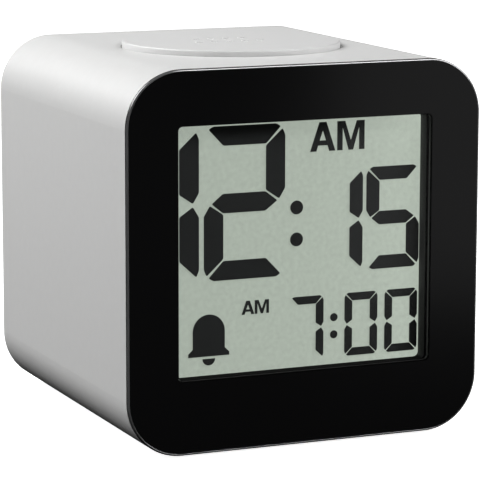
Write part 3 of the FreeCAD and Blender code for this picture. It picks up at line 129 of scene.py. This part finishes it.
def moulded(
    name, color, roughness, grain_per_m, depth_mm,
    amount=0.02, metallic=0.0, specular=0.5, tone_per_m=TONE_PER_M,
):
    """A moulded, drawn or rolled surface: fine grain, and slower changes of tone and gloss."""
    material, tree, shader = new_material(name, color, roughness)
    shader.inputs["Metallic"].default_value = metallic
    shader.inputs["Specular IOR Level"].default_value = specular
    slow = noise(tree, tone_per_m, 3)
    vary_color(tree, shader, slow, color, amount)
    gloss = spread(tree, slow, roughness * (1 - GLOSS_CHANGE), roughness * (1 + GLOSS_CHANGE))
    tree.links.new(gloss, shader.inputs["Roughness"])
    add_grain(tree, shader, noise(tree, grain_per_m, 2), depth_mm)
    return material


def clear(name, color, straight_on, roughness):
    """A clear pane that shows only as a reflection, faint straight on and strong at a low angle."""
    material = moulded(name, color, roughness, 400, 0.0005, amount=0.01, metallic=1.0)
    tree = material.node_tree
    facing = tree.nodes.new("ShaderNodeLayerWeight")
    facing.inputs["Blend"].default_value = 0.5
    steep = tree.nodes.new("ShaderNodeMath")
    steep.operation = "POWER"
    steep.inputs[1].default_value = GRAZING_POWER
    tree.links.new(facing.outputs["Facing"], steep.inputs[0])
    share = tree.nodes.new("ShaderNodeMapRange")
    share.inputs["To Min"].default_value = straight_on
    tree.links.new(steep.outputs["Value"], share.inputs["Value"])
    tree.links.new(share.outputs["Result"], tree.nodes["Principled BSDF"].inputs["Alpha"])
    return material


def level_ramp(tree, coordinate, axis, stops, unit=1.0):
    """A value that follows (place, level) stops along one axis of a texture coordinate."""
    place = tree.nodes.new("ShaderNodeTexCoord")
    split = tree.nodes.new("ShaderNodeSeparateXYZ")
    share = tree.nodes.new("ShaderNodeMapRange")
    start, end = stops[0][0], stops[-1][0]
    share.inputs["From Min"].default_value = start * unit
    share.inputs["From Max"].default_value = end * unit
    ramp = tree.nodes.new("ShaderNodeValToRGB")
    elements = ramp.color_ramp.elements
    for number, (spot, level) in enumerate(stops):
        element = elements[number] if number < 2 else elements.new(1.0)
        element.position = (spot - start) / (end - start)
        element.color = (level, level, level, 1)
    tree.links.new(place.outputs[coordinate], split.inputs["Vector"])
    tree.links.new(split.outputs[axis], share.inputs["Value"])
    tree.links.new(share.outputs["Result"], ramp.inputs["Fac"])
    return ramp.outputs["Color"]


def times(tree, first, second):
    """The product of two values."""
    node = tree.nodes.new("ShaderNodeMath")
    node.operation = "MULTIPLY"
    tree.links.new(first, node.inputs[0])
    tree.links.new(second, node.inputs[1])
    return node.outputs["Value"]


def display_film_with_painted_glow():
    """The grey-green face of the display, with a glow of painted light in place of the light its
    reflector sends back, stronger towards the right and the top, and its fine anti-glare sparkle.
    """
    color = (0.172, 0.195, 0.168)
    material, tree, shader = new_material("display_film_with_painted_glow", color, 0.75)
    shader.inputs["Specular IOR Level"].default_value = 0.25
    shader.inputs["Emission Strength"].default_value = PAINTED_GLOW_STRENGTH
    sparkle = noise(tree, 1300, 4)
    vary_color(tree, shader, sparkle, color, 0.10)
    # painted light: the glow grows towards the right edge and the top, where the window's walls
    # shade the display
    across = level_ramp(tree, "Object", "X", PAINTED_GLOW_ACROSS, MM)
    upward = level_ramp(tree, "Object", "Z", PAINTED_GLOW_UPWARD, MM)
    level = times(tree, across, upward)
    level = times(tree, level, spread(tree, sparkle, 1 - SPARKLE, 1 + SPARKLE))
    tint = tree.nodes.new("ShaderNodeVectorMath")
    tint.operation = "SCALE"
    tint.inputs[0].default_value = PAINTED_GLOW_TINT
    tree.links.new(level, tint.inputs["Scale"])
    tree.links.new(tint.outputs["Vector"], shader.inputs["Emission Color"])
    add_grain(tree, shader, noise(tree, 3800, 2), 0.01, 0.2)
    return material


def lining_with_painted_light(name, lit_side_tone, shaded_end_tone, reach_mm):
    """A matt layer round the window, with one tone on its left and right walls, which stand
    reach_mm from the middle, and another above and below. The paler sides and darker ends
    are painted light and shade."""
    material, tree, shader = new_material(name, (lit_side_tone, lit_side_tone, lit_side_tone), 0.9)
    shader.inputs["Specular IOR Level"].default_value = 0.0
    place = tree.nodes.new("ShaderNodeTexCoord")
    split = tree.nodes.new("ShaderNodeSeparateXYZ")
    away = tree.nodes.new("ShaderNodeMath")
    away.operation = "ABSOLUTE"
    share = tree.nodes.new("ShaderNodeMapRange")
    share.inputs["From Min"].default_value = (reach_mm - PAINTED_LIGHT_FADE[0]) * MM
    share.inputs["From Max"].default_value = (reach_mm - PAINTED_LIGHT_FADE[1]) * MM
    share.inputs["To Min"].default_value = shaded_end_tone
    share.inputs["To Max"].default_value = lit_side_tone
    tree.links.new(place.outputs["Object"], split.inputs["Vector"])
    tree.links.new(split.outputs["X"], away.inputs[0])
    tree.links.new(away.outputs["Value"], share.inputs["Value"])
    tree.links.new(share.outputs["Result"], shader.inputs["Base Color"])
    add_grain(tree, shader, noise(tree, 3000, 2), 0.004)
    return material


def circuit_board():
    """Green solder mask over slightly raised copper tracks."""
    color = (0.02, 0.17, 0.07)
    material, tree, shader = new_material("circuit_board", color, 0.32)
    place = tree.nodes.new("ShaderNodeTexCoord")
    tracks = tree.nodes.new("ShaderNodeTexBrick")
    tracks.inputs["Scale"].default_value = 240
    tracks.inputs["Mortar Size"].default_value = 0.03
    tracks.inputs["Color1"].default_value = (*color, 1)
    tracks.inputs["Color2"].default_value = (0.02, 0.15, 0.06, 1)
    tracks.inputs["Mortar"].default_value = (0.04, 0.30, 0.12, 1)
    tree.links.new(place.outputs["Object"], tracks.inputs["Vector"])
    tree.links.new(tracks.outputs["Color"], shader.inputs["Base Color"])
    add_grain(tree, shader, tracks.outputs["Fac"], 0.03, 0.5)
    return material


WHITE_MOTTLE = {"amount": 0.014, "tone_per_m": 700}
MATERIALS = {
    "white_shell": moulded("white_shell", (0.70, 0.70, 0.695), 0.42, 5200, 0.012, **WHITE_MOTTLE),
    "white_button": moulded("white_button", (0.70, 0.70, 0.697), 0.42, 5200, 0.010, **WHITE_MOTTLE),
    "white_key": moulded("white_key", (0.74, 0.74, 0.735), 0.45, 5200, 0.010),
    "black_gloss": moulded("black_gloss", (0.0028, 0.0028, 0.0031), 0.12, 300, 0.0008),
    "clear_lens": clear("clear_lens", (0.95, 0.97, 0.96), 0.02, 0.10),
    "lcd_glass": clear("lcd_glass", (0.85, 0.95, 0.90), 0.04, 0.05),
    "lcd_film": display_film_with_painted_glow(),
    "led_resin": moulded("led_resin", (0.9, 0.82, 0.5), 0.2, 900, 0.004),
    "zebra_rubber": moulded("zebra_rubber", (0.42, 0.2, 0.22), 0.7, 1500, 0.02),
    "black_frame": moulded("black_frame", (0.012, 0.012, 0.012), 0.5, 4500, 0.012),
    "board_green": circuit_board(),
    "steel": moulded("steel", (0.6, 0.6, 0.61), 0.3, 2500, 0.004, metallic=1.0),
    "nickel": moulded("nickel", (0.72, 0.7, 0.66), 0.2, 1800, 0.004, metallic=1.0),
    "blob_resin": moulded("blob_resin", (0.01, 0.01, 0.01), 0.22, 500, 0.03),
    "silver_can": moulded("silver_can", (0.75, 0.75, 0.76), 0.22, 1500, 0.004, metallic=1.0),
    "capacitor_sleeve": moulded("capacitor_sleeve", (0.015, 0.02, 0.07), 0.25, 700, 0.01),
    "black_plastic": moulded("black_plastic", (0.018, 0.018, 0.018), 0.5, 4000, 0.014),
    "switch_metal": moulded("switch_metal", (0.62, 0.62, 0.6), 0.35, 2200, 0.004, metallic=1.0),
    "cell_sleeve": moulded("cell_sleeve", (0.06, 0.075, 0.09), 0.28, 1200, 0.004, metallic=0.4),
    "ribbon_grey": moulded("ribbon_grey", (0.45, 0.45, 0.46), 0.5, 900, 0.02),
    "wire_red": moulded("wire_red", (0.45, 0.012, 0.012), 0.4, 1200, 0.01),
    "wire_black": moulded("wire_black", (0.012, 0.012, 0.012), 0.4, 1200, 0.01),
    "foot_rubber": moulded("foot_rubber", (0.12, 0.12, 0.12), 0.8, 3000, 0.03),
}
SEGMENT_INK = moulded("segment_ink", (0.034, 0.036, 0.036), 0.6, 3000, 0.003, specular=0.1)
# partly painted highlight: a grey, part-metal line on the black bezel's rounded edge stands in for
# the edge's bright line; its reflection of the lamps is rendered
BEZEL_PAINTED_HIGHLIGHT = moulded("bezel_painted_highlight", (0.30, 0.30, 0.305), 0.16, 300, 0.0008, metallic=0.6)
# painted light and shade: the window liner is paler on its left and right walls and darker above
# and below
WINDOW_LINER_PAINTED_LIGHT = lining_with_painted_light("window_liner_painted_light", 0.070, 0.012, 21.14)
# painted glint: the pale band on the lens's edge is paler on its left and right sides, as a glint
# along the lens's side, and darker above and below
LENS_EDGE_PAINTED_GLINT = lining_with_painted_light("lens_edge_painted_glint", 0.28, 0.040, 21.58)
LENS_EDGE_DARK = moulded("lens_edge_dark", (0.006, 0.006, 0.006), 0.9, 3000, 0.004, specular=0.0)
PRINT_GREY = moulded("print_grey", (0.16, 0.16, 0.165), 0.5, 3000, 0.004)


def dress_frame():
    """Every CAD node takes the material of its slot in the record."""
    for entry in frame["record"]["subparts"]:
        mesh = NODES[entry["node"]].data
        mesh.materials.clear()
        mesh.materials.append(MATERIALS[entry["material_slot"]])


# ---------------------------------------------------------------- flat shapes, mm in X and Z
def arc(centre, radius, start, end, steps):
    """Points along an arc, angles in degrees."""
    points = []
    for step in range(steps + 1):
        angle = math.radians(start + (end - start) * step / steps)
        points.append((centre[0] + radius * math.cos(angle), centre[1] + radius * math.sin(angle)))
    return points


def disc(centre, radius):
    return arc(centre, radius, 0, 360, 32)[:-1]


# the most that a rounded corner takes of each edge beside it
CORNER_SHARE = 0.4


def softened(points, radius, steps=4):
    """The outline with each corner rounded by a short curve."""
    result = []
    count = len(points)
    for number, corner in enumerate(points):
        corner = Vector(corner)
        before = Vector(points[number - 1]) - corner
        after = Vector(points[(number + 1) % count]) - corner
        entry = corner + before.normalized() * min(radius, before.length * CORNER_SHARE)
        leave = corner + after.normalized() * min(radius, after.length * CORNER_SHARE)
        for step in range(steps + 1):
            t = step / steps
            point = entry * (1 - t) ** 2 + corner * (2 * t * (1 - t)) + leave * t ** 2
            result.append(tuple(point))
    return result


def add_piece(name, data, material, body=ROOT, place=(0, 0, 0), turn=(0, 0, 0)):
    """A new piece of the clock, which moves with that body; place and turn are in the frame."""
    data.materials.append(material)
    piece = bpy.data.objects.new(name, data)
    piece.location = place
    piece.rotation_euler = turn
    bpy.context.scene.collection.objects.link(piece)
    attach(piece, body)


def plate(name, outlines, front_y, thickness, material, body=ROOT):
    """A thin plate across Y for each outline, all one piece; front_y is in metres."""
    back_y = front_y + thickness * MM
    mesh = bpy.data.meshes.new(name)
    shape = bmesh.new()
    for outline in outlines:
        front = [shape.verts.new((x * MM, front_y, z * MM)) for x, z in outline]
        back = [shape.verts.new((x * MM, back_y, z * MM)) for x, z in outline]
        shape.faces.new(front)
        shape.faces.new(list(reversed(back)))
        for number in range(len(front)):
            following = (number + 1) % len(front)
            shape.faces.new((front[number], back[number], back[following], front[following]))
    bmesh.ops.recalc_face_normals(shape, faces=shape.faces)
    shape.to_mesh(mesh)
    shape.free()
    add_piece(name, mesh, material, body)


# ---------------------------------------------------------------- display
# between the segments and the display's face
SEGMENT_GAP = 0.2
SEGMENT_THICKNESS = 0.03
# the layout below has its own origin; these two carry it to the clock's
LAYOUT_SHIFT_X = 0.53
LAYOUT_SHIFT_Z = 0.34
# bottom, top and stroke of the digits
LARGE = (26.7, 50.8, 3.05)
MEDIUM = (26.65, 43.05, 2.15)
SMALL = (12.97, 23.13, 1.27)
# Corners of a digit's bars, in strokes. Top and bottom bar: the first number is from the left
# side or, where negative, from the right, and the second is from the bar's outer edge inward.
# Side bar: the first is from the side inward, the second is from the digit's top or bottom or,
# where negative, from its middle. Middle bar: the second is up from the middle.
END_BAR = ((0.26, 0.15), (0.52, 0.0), (-0.50, 0.0), (-0.25, 0.15), (-1.06, 1.0), (1.07, 1.0))
SIDE_BAR = ((0.15, 0.26), (0.0, 0.60), (0.0, -0.62), (0.33, -0.08), (1.07, -0.57), (1.07, 1.10))
MID_BAR = ((0.43, 0.0), (1.05, 0.5), (-1.10, 0.5), (-0.43, 0.0), (-1.10, -0.5), (1.05, -0.5))
BAR_SOFTENING = 0.09
# letter A: half its flat top by its width, its crossbar by its height, and its leg in strokes
A_FLAT = 0.14
A_BAR_LOW, A_BAR_HIGH = 0.20, 0.37
A_LEG = 1.12
# letter M in strokes: width of a shoulder, half the foot in its middle, height of the valley
# over that foot, and how far below its top the legs part from the middle
M_SHOULDER, M_FOOT, M_VALLEY, M_NOTCH = 1.45, 0.42, 1.6, 1.1
# the display's bell; a mark on the back repeats it, shrunk about this point
BELL_MIDDLE = (-15.87, 17.45)


def digit(letters, left, right, bottom, top, stroke):
    """The lit segments of one seven-segment digit."""
    mid = (bottom + top) / 2

    def along(strokes):
        return (left if strokes > 0 else right) + strokes * stroke

    def side_outline(edge, inward, outer, upward):
        points = []
        for across, rise in SIDE_BAR:
            start = outer if rise > 0 else mid
            points.append((edge + across * stroke * inward, start + rise * stroke * upward))
        return points

    shapes = {
        "a": [(along(u), top - v * stroke) for u, v in END_BAR],
        "d": [(along(u), bottom + v * stroke) for u, v in END_BAR],
        "g": [(along(u), mid + v * stroke) for u, v in MID_BAR],
        "b": side_outline(right, -1, top, -1),
        "c": side_outline(right, -1, bottom, 1),
        "f": side_outline(left, 1, top, -1),
        "e": side_outline(left, 1, bottom, 1),
    }
    return [softened(shapes[letter], stroke * BAR_SOFTENING) for letter in letters]


def letter_a(left, right, bottom, top, stroke):
    """Two mirrored halves of an A that meet in its middle."""
    centre = (left + right) / 2
    height = top - bottom
    flat = (right - left) * A_FLAT
    lean = (centre - flat - left) / height
    leg = stroke * A_LEG
    bar_low, bar_high = bottom + height * A_BAR_LOW, bottom + height * A_BAR_HIGH
    apex = bottom + (centre - left - leg) / lean

    def inner(level):
        return left + leg + (level - bottom) * lean

    half = [
        (left, bottom), (centre - flat, top), (centre, top), (centre, apex),
        (inner(bar_high), bar_high), (centre, bar_high), (centre, bar_low),
        (inner(bar_low), bar_low), (left + leg, bottom),
    ]
    return [half, [(2 * centre - x, z) for x, z in half]]


def letter_m(left, right, bottom, top, stroke):
    """The outline of an M, from its left foot over the top and back inside."""
    centre = (left + right) / 2
    shoulder = left + stroke * M_SHOULDER
    leg = left + stroke
    notch = top - stroke * M_NOTCH
    valley = (centre, bottom + stroke * M_VALLEY)
    half = [(left, bottom), (left, top), (shoulder, top), valley]
    inside = [(centre - stroke * M_FOOT, bottom), (leg, notch), (leg, bottom)]
    mirrored_half = [(2 * centre - x, z) for x, z in reversed(half[:3])]
    mirrored_inside = [(2 * centre - x, z) for x, z in reversed(inside)]
    return [half + mirrored_half + mirrored_inside + inside]


def bell():
    """Dome, flared lip and clapper of the alarm sign."""
    centre_x, shoulder_z, dome = BELL_MIDDLE[0], 18.8, 2.7
    lip_top, lip_edge, base_z, lip = 16.1, 15.4, 14.87, 3.45
    clapper_z, clapper = 14.5, 1.07
    body = arc((centre_x, shoulder_z), dome, 0, 180, 20)
    body += [(centre_x - dome, lip_top), (centre_x - lip, lip_edge), (centre_x - lip, base_z)]
    body += [(centre_x + lip, base_z), (centre_x + lip, lip_edge), (centre_x + dome, lip_top)]
    return [body, arc((centre_x, clapper_z), clapper, 180, 360, 16)]


def make_display():
    """12:15 AM over an alarm set to 7:00 AM, drawn just in front of the display's face."""
    film_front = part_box("lcd_front_polariser")[0].y
    front_y = film_front - (SEGMENT_GAP + SEGMENT_THICKNESS) * MM

    def show(name, outlines):
        moved = [[(x + LAYOUT_SHIFT_X, z + LAYOUT_SHIFT_Z) for x, z in line] for line in outlines]
        plate(name, moved, front_y, SEGMENT_THICKNESS, SEGMENT_INK)

    def show_half_day(name, a_sides, m_sides, bottom, top, stroke):
        letters = letter_a(*a_sides, bottom, top, stroke) + letter_m(*m_sides, bottom, top, stroke)
        show(name, letters)

    show("lcd_hour_tens", digit("bc", -31.2, -17.5, *LARGE))
    show("lcd_hour_units", digit("abged", -16.7, -3.0, *LARGE))
    show("lcd_colon", [disc((-1.0, 37.38), 1.1), disc((-1.0, 32.32), 1.1)])
    show("lcd_minute_tens", digit("bc", 1.1, 10.45, *MEDIUM))
    show("lcd_minute_units", digit("afgcd", 11.05, 20.4, *MEDIUM))
    show_half_day("lcd_half_day", (1.25, 5.6), (5.9, 10.65), 46.0, 50.6, 0.95)
    show("lcd_alarm_hour", digit("abc", -2.05, 3.75, *SMALL))
    show("lcd_alarm_colon", [disc((5.55, 19.4), 0.65), disc((5.55, 16.63), 0.65)])
    show("lcd_alarm_minute_tens", digit("abcdef", 7.4, 13.2, *SMALL))
    show("lcd_alarm_minute_units", digit("abcdef", 14.45, 20.25, *SMALL))
    show_half_day("lcd_alarm_half_day", (-10.33, -8.17), (-8.1, -5.67), 21.0, 23.17, 0.46)
    show("lcd_alarm_bell", bell())


# ---------------------------------------------------------------- lines round bezel and window, with painted highlight and painted light
CORNER_STEPS = 24
# the bezel's corner and the round of its front edge
BEZEL_CORNER = 9.0
BEZEL_ROUND = 0.34
# the grey line on that round, partly painted highlight: how far its outer face stands off, its
# thickness, and its end in degrees
LINE_PROUD = 0.012
LINE_DEPTH = 0.008
LINE_REACH = 65
LINE_STEPS = 8
# the opening behind the pane, inside the pane's outline
SIGHT_INSET_SIDE = 0.44
SIGHT_INSET_END = 0.03
SIGHT_CORNER = 0.82
SIGHT_DEPTH = 2.15
# the pane and the two bands round its edge, from its back to the front: a pale band whose paler
# sides are a painted glint, and a dark band
WINDOW_CORNER = 0.85
LENS_GLINT_DEPTH = 0.45
LENS_DARK_DEPTH = 0.42
COAT = 0.008
COAT_GAP = 0.004


def ring(name, profile, left, right, bottom, top, radius, material, slot):
    """A closed line round a rectangle with round corners; profile is (inset, y) points in mm."""
    centres = (
        (right - radius, top - radius, 0), (left + radius, top - radius, 90),
        (left + radius, bottom + radius, 180), (right - radius, bottom + radius, 270),
    )
    mesh = bpy.data.meshes.new(name)
    shape = bmesh.new()
    loops = []
    for inset, y in profile:
        points = []
        for x, z, start in centres:
            points += arc((x, z), radius - inset, start, start + 90, CORNER_STEPS)
        loops.append([shape.verts.new((x * MM, y * MM, z * MM)) for x, z in points])
    for inner, outer in zip(loops, loops[1:] + loops[:1]):
        for number in range(len(inner)):
            following = (number + 1) % len(inner)
            shape.faces.new((inner[number], inner[following], outer[following], outer[number]))
    bmesh.ops.recalc_face_normals(shape, faces=shape.faces)
    for face in shape.faces:
        face.smooth = True
    shape.to_mesh(mesh)
    shape.free()
    add_piece(name, mesh, material)


def coat(y_start, depth, gap):
    """The profile of a thin layer on a wall, gap away from it."""
    y_end, far = y_start + depth, gap + COAT
    return [(gap, y_start), (gap, y_end), (far, y_end), (far, y_start)]


def make_window_lines():
    """The matt lining of the window's walls, paler on its side walls and darker above and below
    as painted light and shade, and two bands on the lens's edge: a pale one, whose paler sides
    are a painted glint, and a dark one.
    """
    low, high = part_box("window_lens")
    left, right, bottom, top = (value / MM for value in (low.x, high.x, low.z, high.z))
    back = high.y / MM
    side, end = SIGHT_INSET_SIDE, SIGHT_INSET_END
    sight = (left + side, right - side, bottom + end, top - end, SIGHT_CORNER)
    # the liner carries painted light and shade: paler side walls, darker top and bottom
    walls = coat(back, SIGHT_DEPTH - COAT_GAP, COAT_GAP)
    ring("window_liner_painted_light", walls, *sight, WINDOW_LINER_PAINTED_LIGHT, "black_gloss")
    outline = (left, right, bottom, top, WINDOW_CORNER)
    # the pale band: its paler sides are a painted glint on the lens's edge
    glint_front = back - LENS_GLINT_DEPTH
    pale = coat(glint_front, LENS_GLINT_DEPTH - COAT_GAP, COAT_GAP)
    ring("lens_edge_painted_glint", pale, *outline, LENS_EDGE_PAINTED_GLINT, "black_gloss")
    dark = coat(glint_front - LENS_DARK_DEPTH, LENS_DARK_DEPTH, COAT_GAP)
    ring("lens_edge_dark", dark, *outline, LENS_EDGE_DARK, "black_gloss")


def make_bezel_painted_highlight():
    """A thin grey layer on the rounded front edge of the bezel. Its part-metal reflection of the
    lamps is rendered; its grey is painted highlight, standing in for the bright line along the
    edge.
    """
    low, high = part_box("front_bezel")
    left, right, bottom, top = (value / MM for value in (low.x, high.x, low.z, high.z))
    face_y = low.y / MM
    faces = (
        (BEZEL_ROUND + LINE_PROUD, 0, LINE_REACH),
        (BEZEL_ROUND + (LINE_PROUD - LINE_DEPTH), LINE_REACH, 0),
    )
    profile = []
    for radius, start, end in faces:
        for y, inset in arc((0, 0), radius, start, end, LINE_STEPS):
            profile.append((BEZEL_ROUND - inset, face_y + BEZEL_ROUND - y))
    ring("bezel_painted_highlight", profile, left, right, bottom, top, BEZEL_CORNER, BEZEL_PAINTED_HIGHLIGHT, "black_gloss")


# ---------------------------------------------------------------- marks printed on the back
MARK_GAP = 0.004
MARK_THICKNESS = 0.012
KEY_MARK_Z = 56.35
WORD_SIZE = 1.9
WORD_STEPS = 4
# plus and minus: half their width, and half the width of their strokes
SIGN_REACH = 0.85
SIGN_HALF = 0.17
# the words below the alarm switch and the bell above it
SWITCH_WORD_Z = 38.6
SWITCH_WORD_STEP = 2.6
SWITCH_BELL_Z = 45.1
BELL_SCALE = 0.27
ARROW_TOP, ARROW_TIP, ARROW_HALF = 25.6, 23.9, 1.25


def mark_y():
    """Where a mark on the back begins, in metres."""
    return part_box("back_cover")[1].y + MARK_GAP * MM


def middle_x(node):
    """The middle of a node from left to right, in millimetres."""
    low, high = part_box(node)
    return (low.x + high.x) / 2 / MM


def back_word(name, word, x, z):
    """A word on the back cover, read from behind."""
    curve = bpy.data.curves.new(name, "FONT")
    curve.body = word
    curve.size = WORD_SIZE * MM
    curve.extrude = MARK_THICKNESS / 2 * MM
    curve.resolution_u = WORD_STEPS
    curve.align_x = "CENTER"
    curve.align_y = "CENTER"
    place = (x * MM, mark_y() + MARK_THICKNESS / 2 * MM, z * MM)
    turn = (math.pi / 2, 0, math.pi)
    add_piece(name, curve, PRINT_GREY, place=place, turn=turn)


def back_sign(name, outlines, body=ROOT):
    """A mark of flat shapes on the back."""
    plate(name, outlines, mark_y(), MARK_THICKNESS, PRINT_GREY, body)


def make_back_marks():
    """Names of the keys, the alarm switch's two ends with a bell, and an arrow on the door."""
    for name in ("mode", "light"):
        back_word("mark_" + name, name.upper(), middle_x(name + "_key"), KEY_MARK_Z)
    reach, half = SIGN_REACH, SIGN_HALF
    plus = [(reach, half), (half, half), (half, reach)]
    plus += [(-half, reach), (-half, half), (-reach, half)]
    plus += [(-x, -z) for x, z in plus]
    minus = [(reach, half), (-reach, half), (-reach, -half), (reach, -half)]
    for name, sign in (("up", plus), ("down", minus)):
        key_x = middle_x(name + "_key")
        back_sign("mark_" + name, [[(x + key_x, z + KEY_MARK_Z) for x, z in sign]])
    switch_x = middle_x("alarm_switch_body")
    back_word("mark_off", "OFF", switch_x - SWITCH_WORD_STEP, SWITCH_WORD_Z)
    back_word("mark_on", "ON", switch_x + SWITCH_WORD_STEP, SWITCH_WORD_Z)

    def shrunk(point):
        x, z = point
        return (
            switch_x + (x - BELL_MIDDLE[0]) * BELL_SCALE,
            SWITCH_BELL_Z + (z - BELL_MIDDLE[1]) * BELL_SCALE,
        )

    back_sign("mark_bell", [[shrunk(point) for point in line] for line in bell()])
    arrow = [(-ARROW_HALF, ARROW_TOP), (ARROW_HALF, ARROW_TOP), (0, ARROW_TIP)]
    back_sign("mark_door", [arrow], "door")


# ---------------------------------------------------------------- camera, studio and lights
CAMERA_TARGET = Vector((1.541, 0.0, 28.093)) * MM
CAMERA_DISTANCE = 449.76 * MM
CAMERA_AZIMUTH = -0.4060
CAMERA_ELEVATION = 0.1720
CAMERA_ROLL = 0.0016
CAMERA_LENS = 203.17
SENSOR_WIDTH = 36
# in metres, but for FLOOR_DROP: how far the floor lies below the feet, in millimetres
FLOOR_REACH = 8.0
FLOOR_DROP = 0.02
DOME_RADIUS = 3.5
STUDIO_WHITE = (0.93, 0.93, 0.93)
FLOOR_GLOW = 0.95
# name, azimuth and elevation in degrees, distance and size in metres, power in watts
LIGHTS = (
    ("key", 30, 37, 1.0, 0.3, 2.5),
    ("front_right", 60, 30, 1.0, 0.6, 5.4),
    ("right", 100, 30, 1.0, 0.6, 0.7),
    ("near_left", -95, 45, 0.35, 0.20, 0.86),
    ("behind_left", -140, 35, 1.0, 0.6, 6.2),
    ("low_card", 36, 0, 1.0, 0.4, 0.14),
)
LIGHT_AIM = Vector((0, 0, 0.03))
# brightness of the room by the height of the direction, -1 straight down and 1 straight up
ROOM = ((-1.0, 0.0), (-0.4, 0.0), (-0.15, 0.058), (0.0, 0.004), (0.25, 0.004), (1.0, 0.004))


def make_camera():
    """The camera, turned about its target by azimuth, elevation and a slight roll."""
    data = bpy.data.cameras.new("camera")
    data.lens = CAMERA_LENS
    data.sensor_width = SENSOR_WIDTH
    camera = bpy.data.objects.new("camera", data)
    bpy.context.scene.collection.objects.link(camera)
    level = math.cos(CAMERA_ELEVATION)
    forward = Vector((
        -math.sin(CAMERA_AZIMUTH) * level,
        math.cos(CAMERA_AZIMUTH) * level,
        -math.sin(CAMERA_ELEVATION),
    ))
    camera.location = CAMERA_TARGET - forward * CAMERA_DISTANCE
    turn = forward.to_track_quat("-Z", "Y") @ Quaternion((0, 0, 1), CAMERA_ROLL)
    camera.rotation_euler = turn.to_euler()
    bpy.context.scene.camera = camera


def pale_sheet(name, mesh, material):
    """Part of the studio: seen as pale, but it lights nothing up and no piece mirrors it."""
    mesh.materials.append(material)
    sheet = bpy.data.objects.new(name, mesh)
    sheet.visible_diffuse = False
    sheet.visible_glossy = False
    bpy.context.scene.collection.objects.link(sheet)
    return sheet


def make_studio():
    """A pale floor that glows of itself, and a pale dome behind it for views from a low angle."""
    material, _, shader = new_material("floor", STUDIO_WHITE, 0.9)
    shader.inputs["Specular IOR Level"].default_value = 0.0
    shader.inputs["Emission Color"].default_value = (1, 1, 1, 1)
    shader.inputs["Emission Strength"].default_value = FLOOR_GLOW
    reach, level = FLOOR_REACH, -FLOOR_DROP * MM
    corners = [(x * reach, y * reach, level) for x, y in ((-1, -1), (1, -1), (1, 1), (-1, 1))]
    mesh = bpy.data.meshes.new("floor")
    mesh.from_pydata(corners, [], [(0, 1, 2, 3)])
    pale_sheet("floor", mesh, material)

    dome_material = material.copy()
    dome_material.cycles.emission_sampling = "NONE"
    dome_mesh = bpy.data.meshes.new("dome")
    shape = bmesh.new()
    bmesh.ops.create_icosphere(shape, subdivisions=4, radius=DOME_RADIUS)
    shape.to_mesh(dome_mesh)
    shape.free()
    dome = pale_sheet("dome", dome_mesh, dome_material)
    dome.visible_shadow = False


def make_light(name, azimuth, elevation, distance, size, power):
    """A square panel that faces the clock."""
    data = bpy.data.lights.new(name, "AREA")
    data.size = size
    data.energy = power
    light = bpy.data.objects.new(name, data)
    light.visible_camera = False
    bpy.context.scene.collection.objects.link(light)
    around, up = math.radians(azimuth), math.radians(elevation)
    level = math.cos(up)
    toward = Vector((math.sin(around) * level, -math.cos(around) * level, math.sin(up)))
    light.location = LIGHT_AIM + toward * distance
    light.rotation_euler = toward.to_track_quat("Z", "Y").to_euler()


def make_room():
    """The soft light of the room, by the height of the direction."""
    world = bpy.data.worlds.new("studio")
    world.use_nodes = True
    tree = world.node_tree
    light = level_ramp(tree, "Generated", "Z", ROOM)
    tree.links.new(light, tree.nodes["Background"].inputs["Color"])
    bpy.context.scene.world = world


def make_lights():
    """The room and its panels, shown in plain colours."""
    make_room()
    for light in LIGHTS:
        make_light(*light)
    bpy.context.scene.view_settings.view_transform = "Standard"


dress_frame()
make_display()
make_bezel_painted_highlight()
make_window_lines()
make_back_marks()
make_camera()
make_studio()
make_lights()
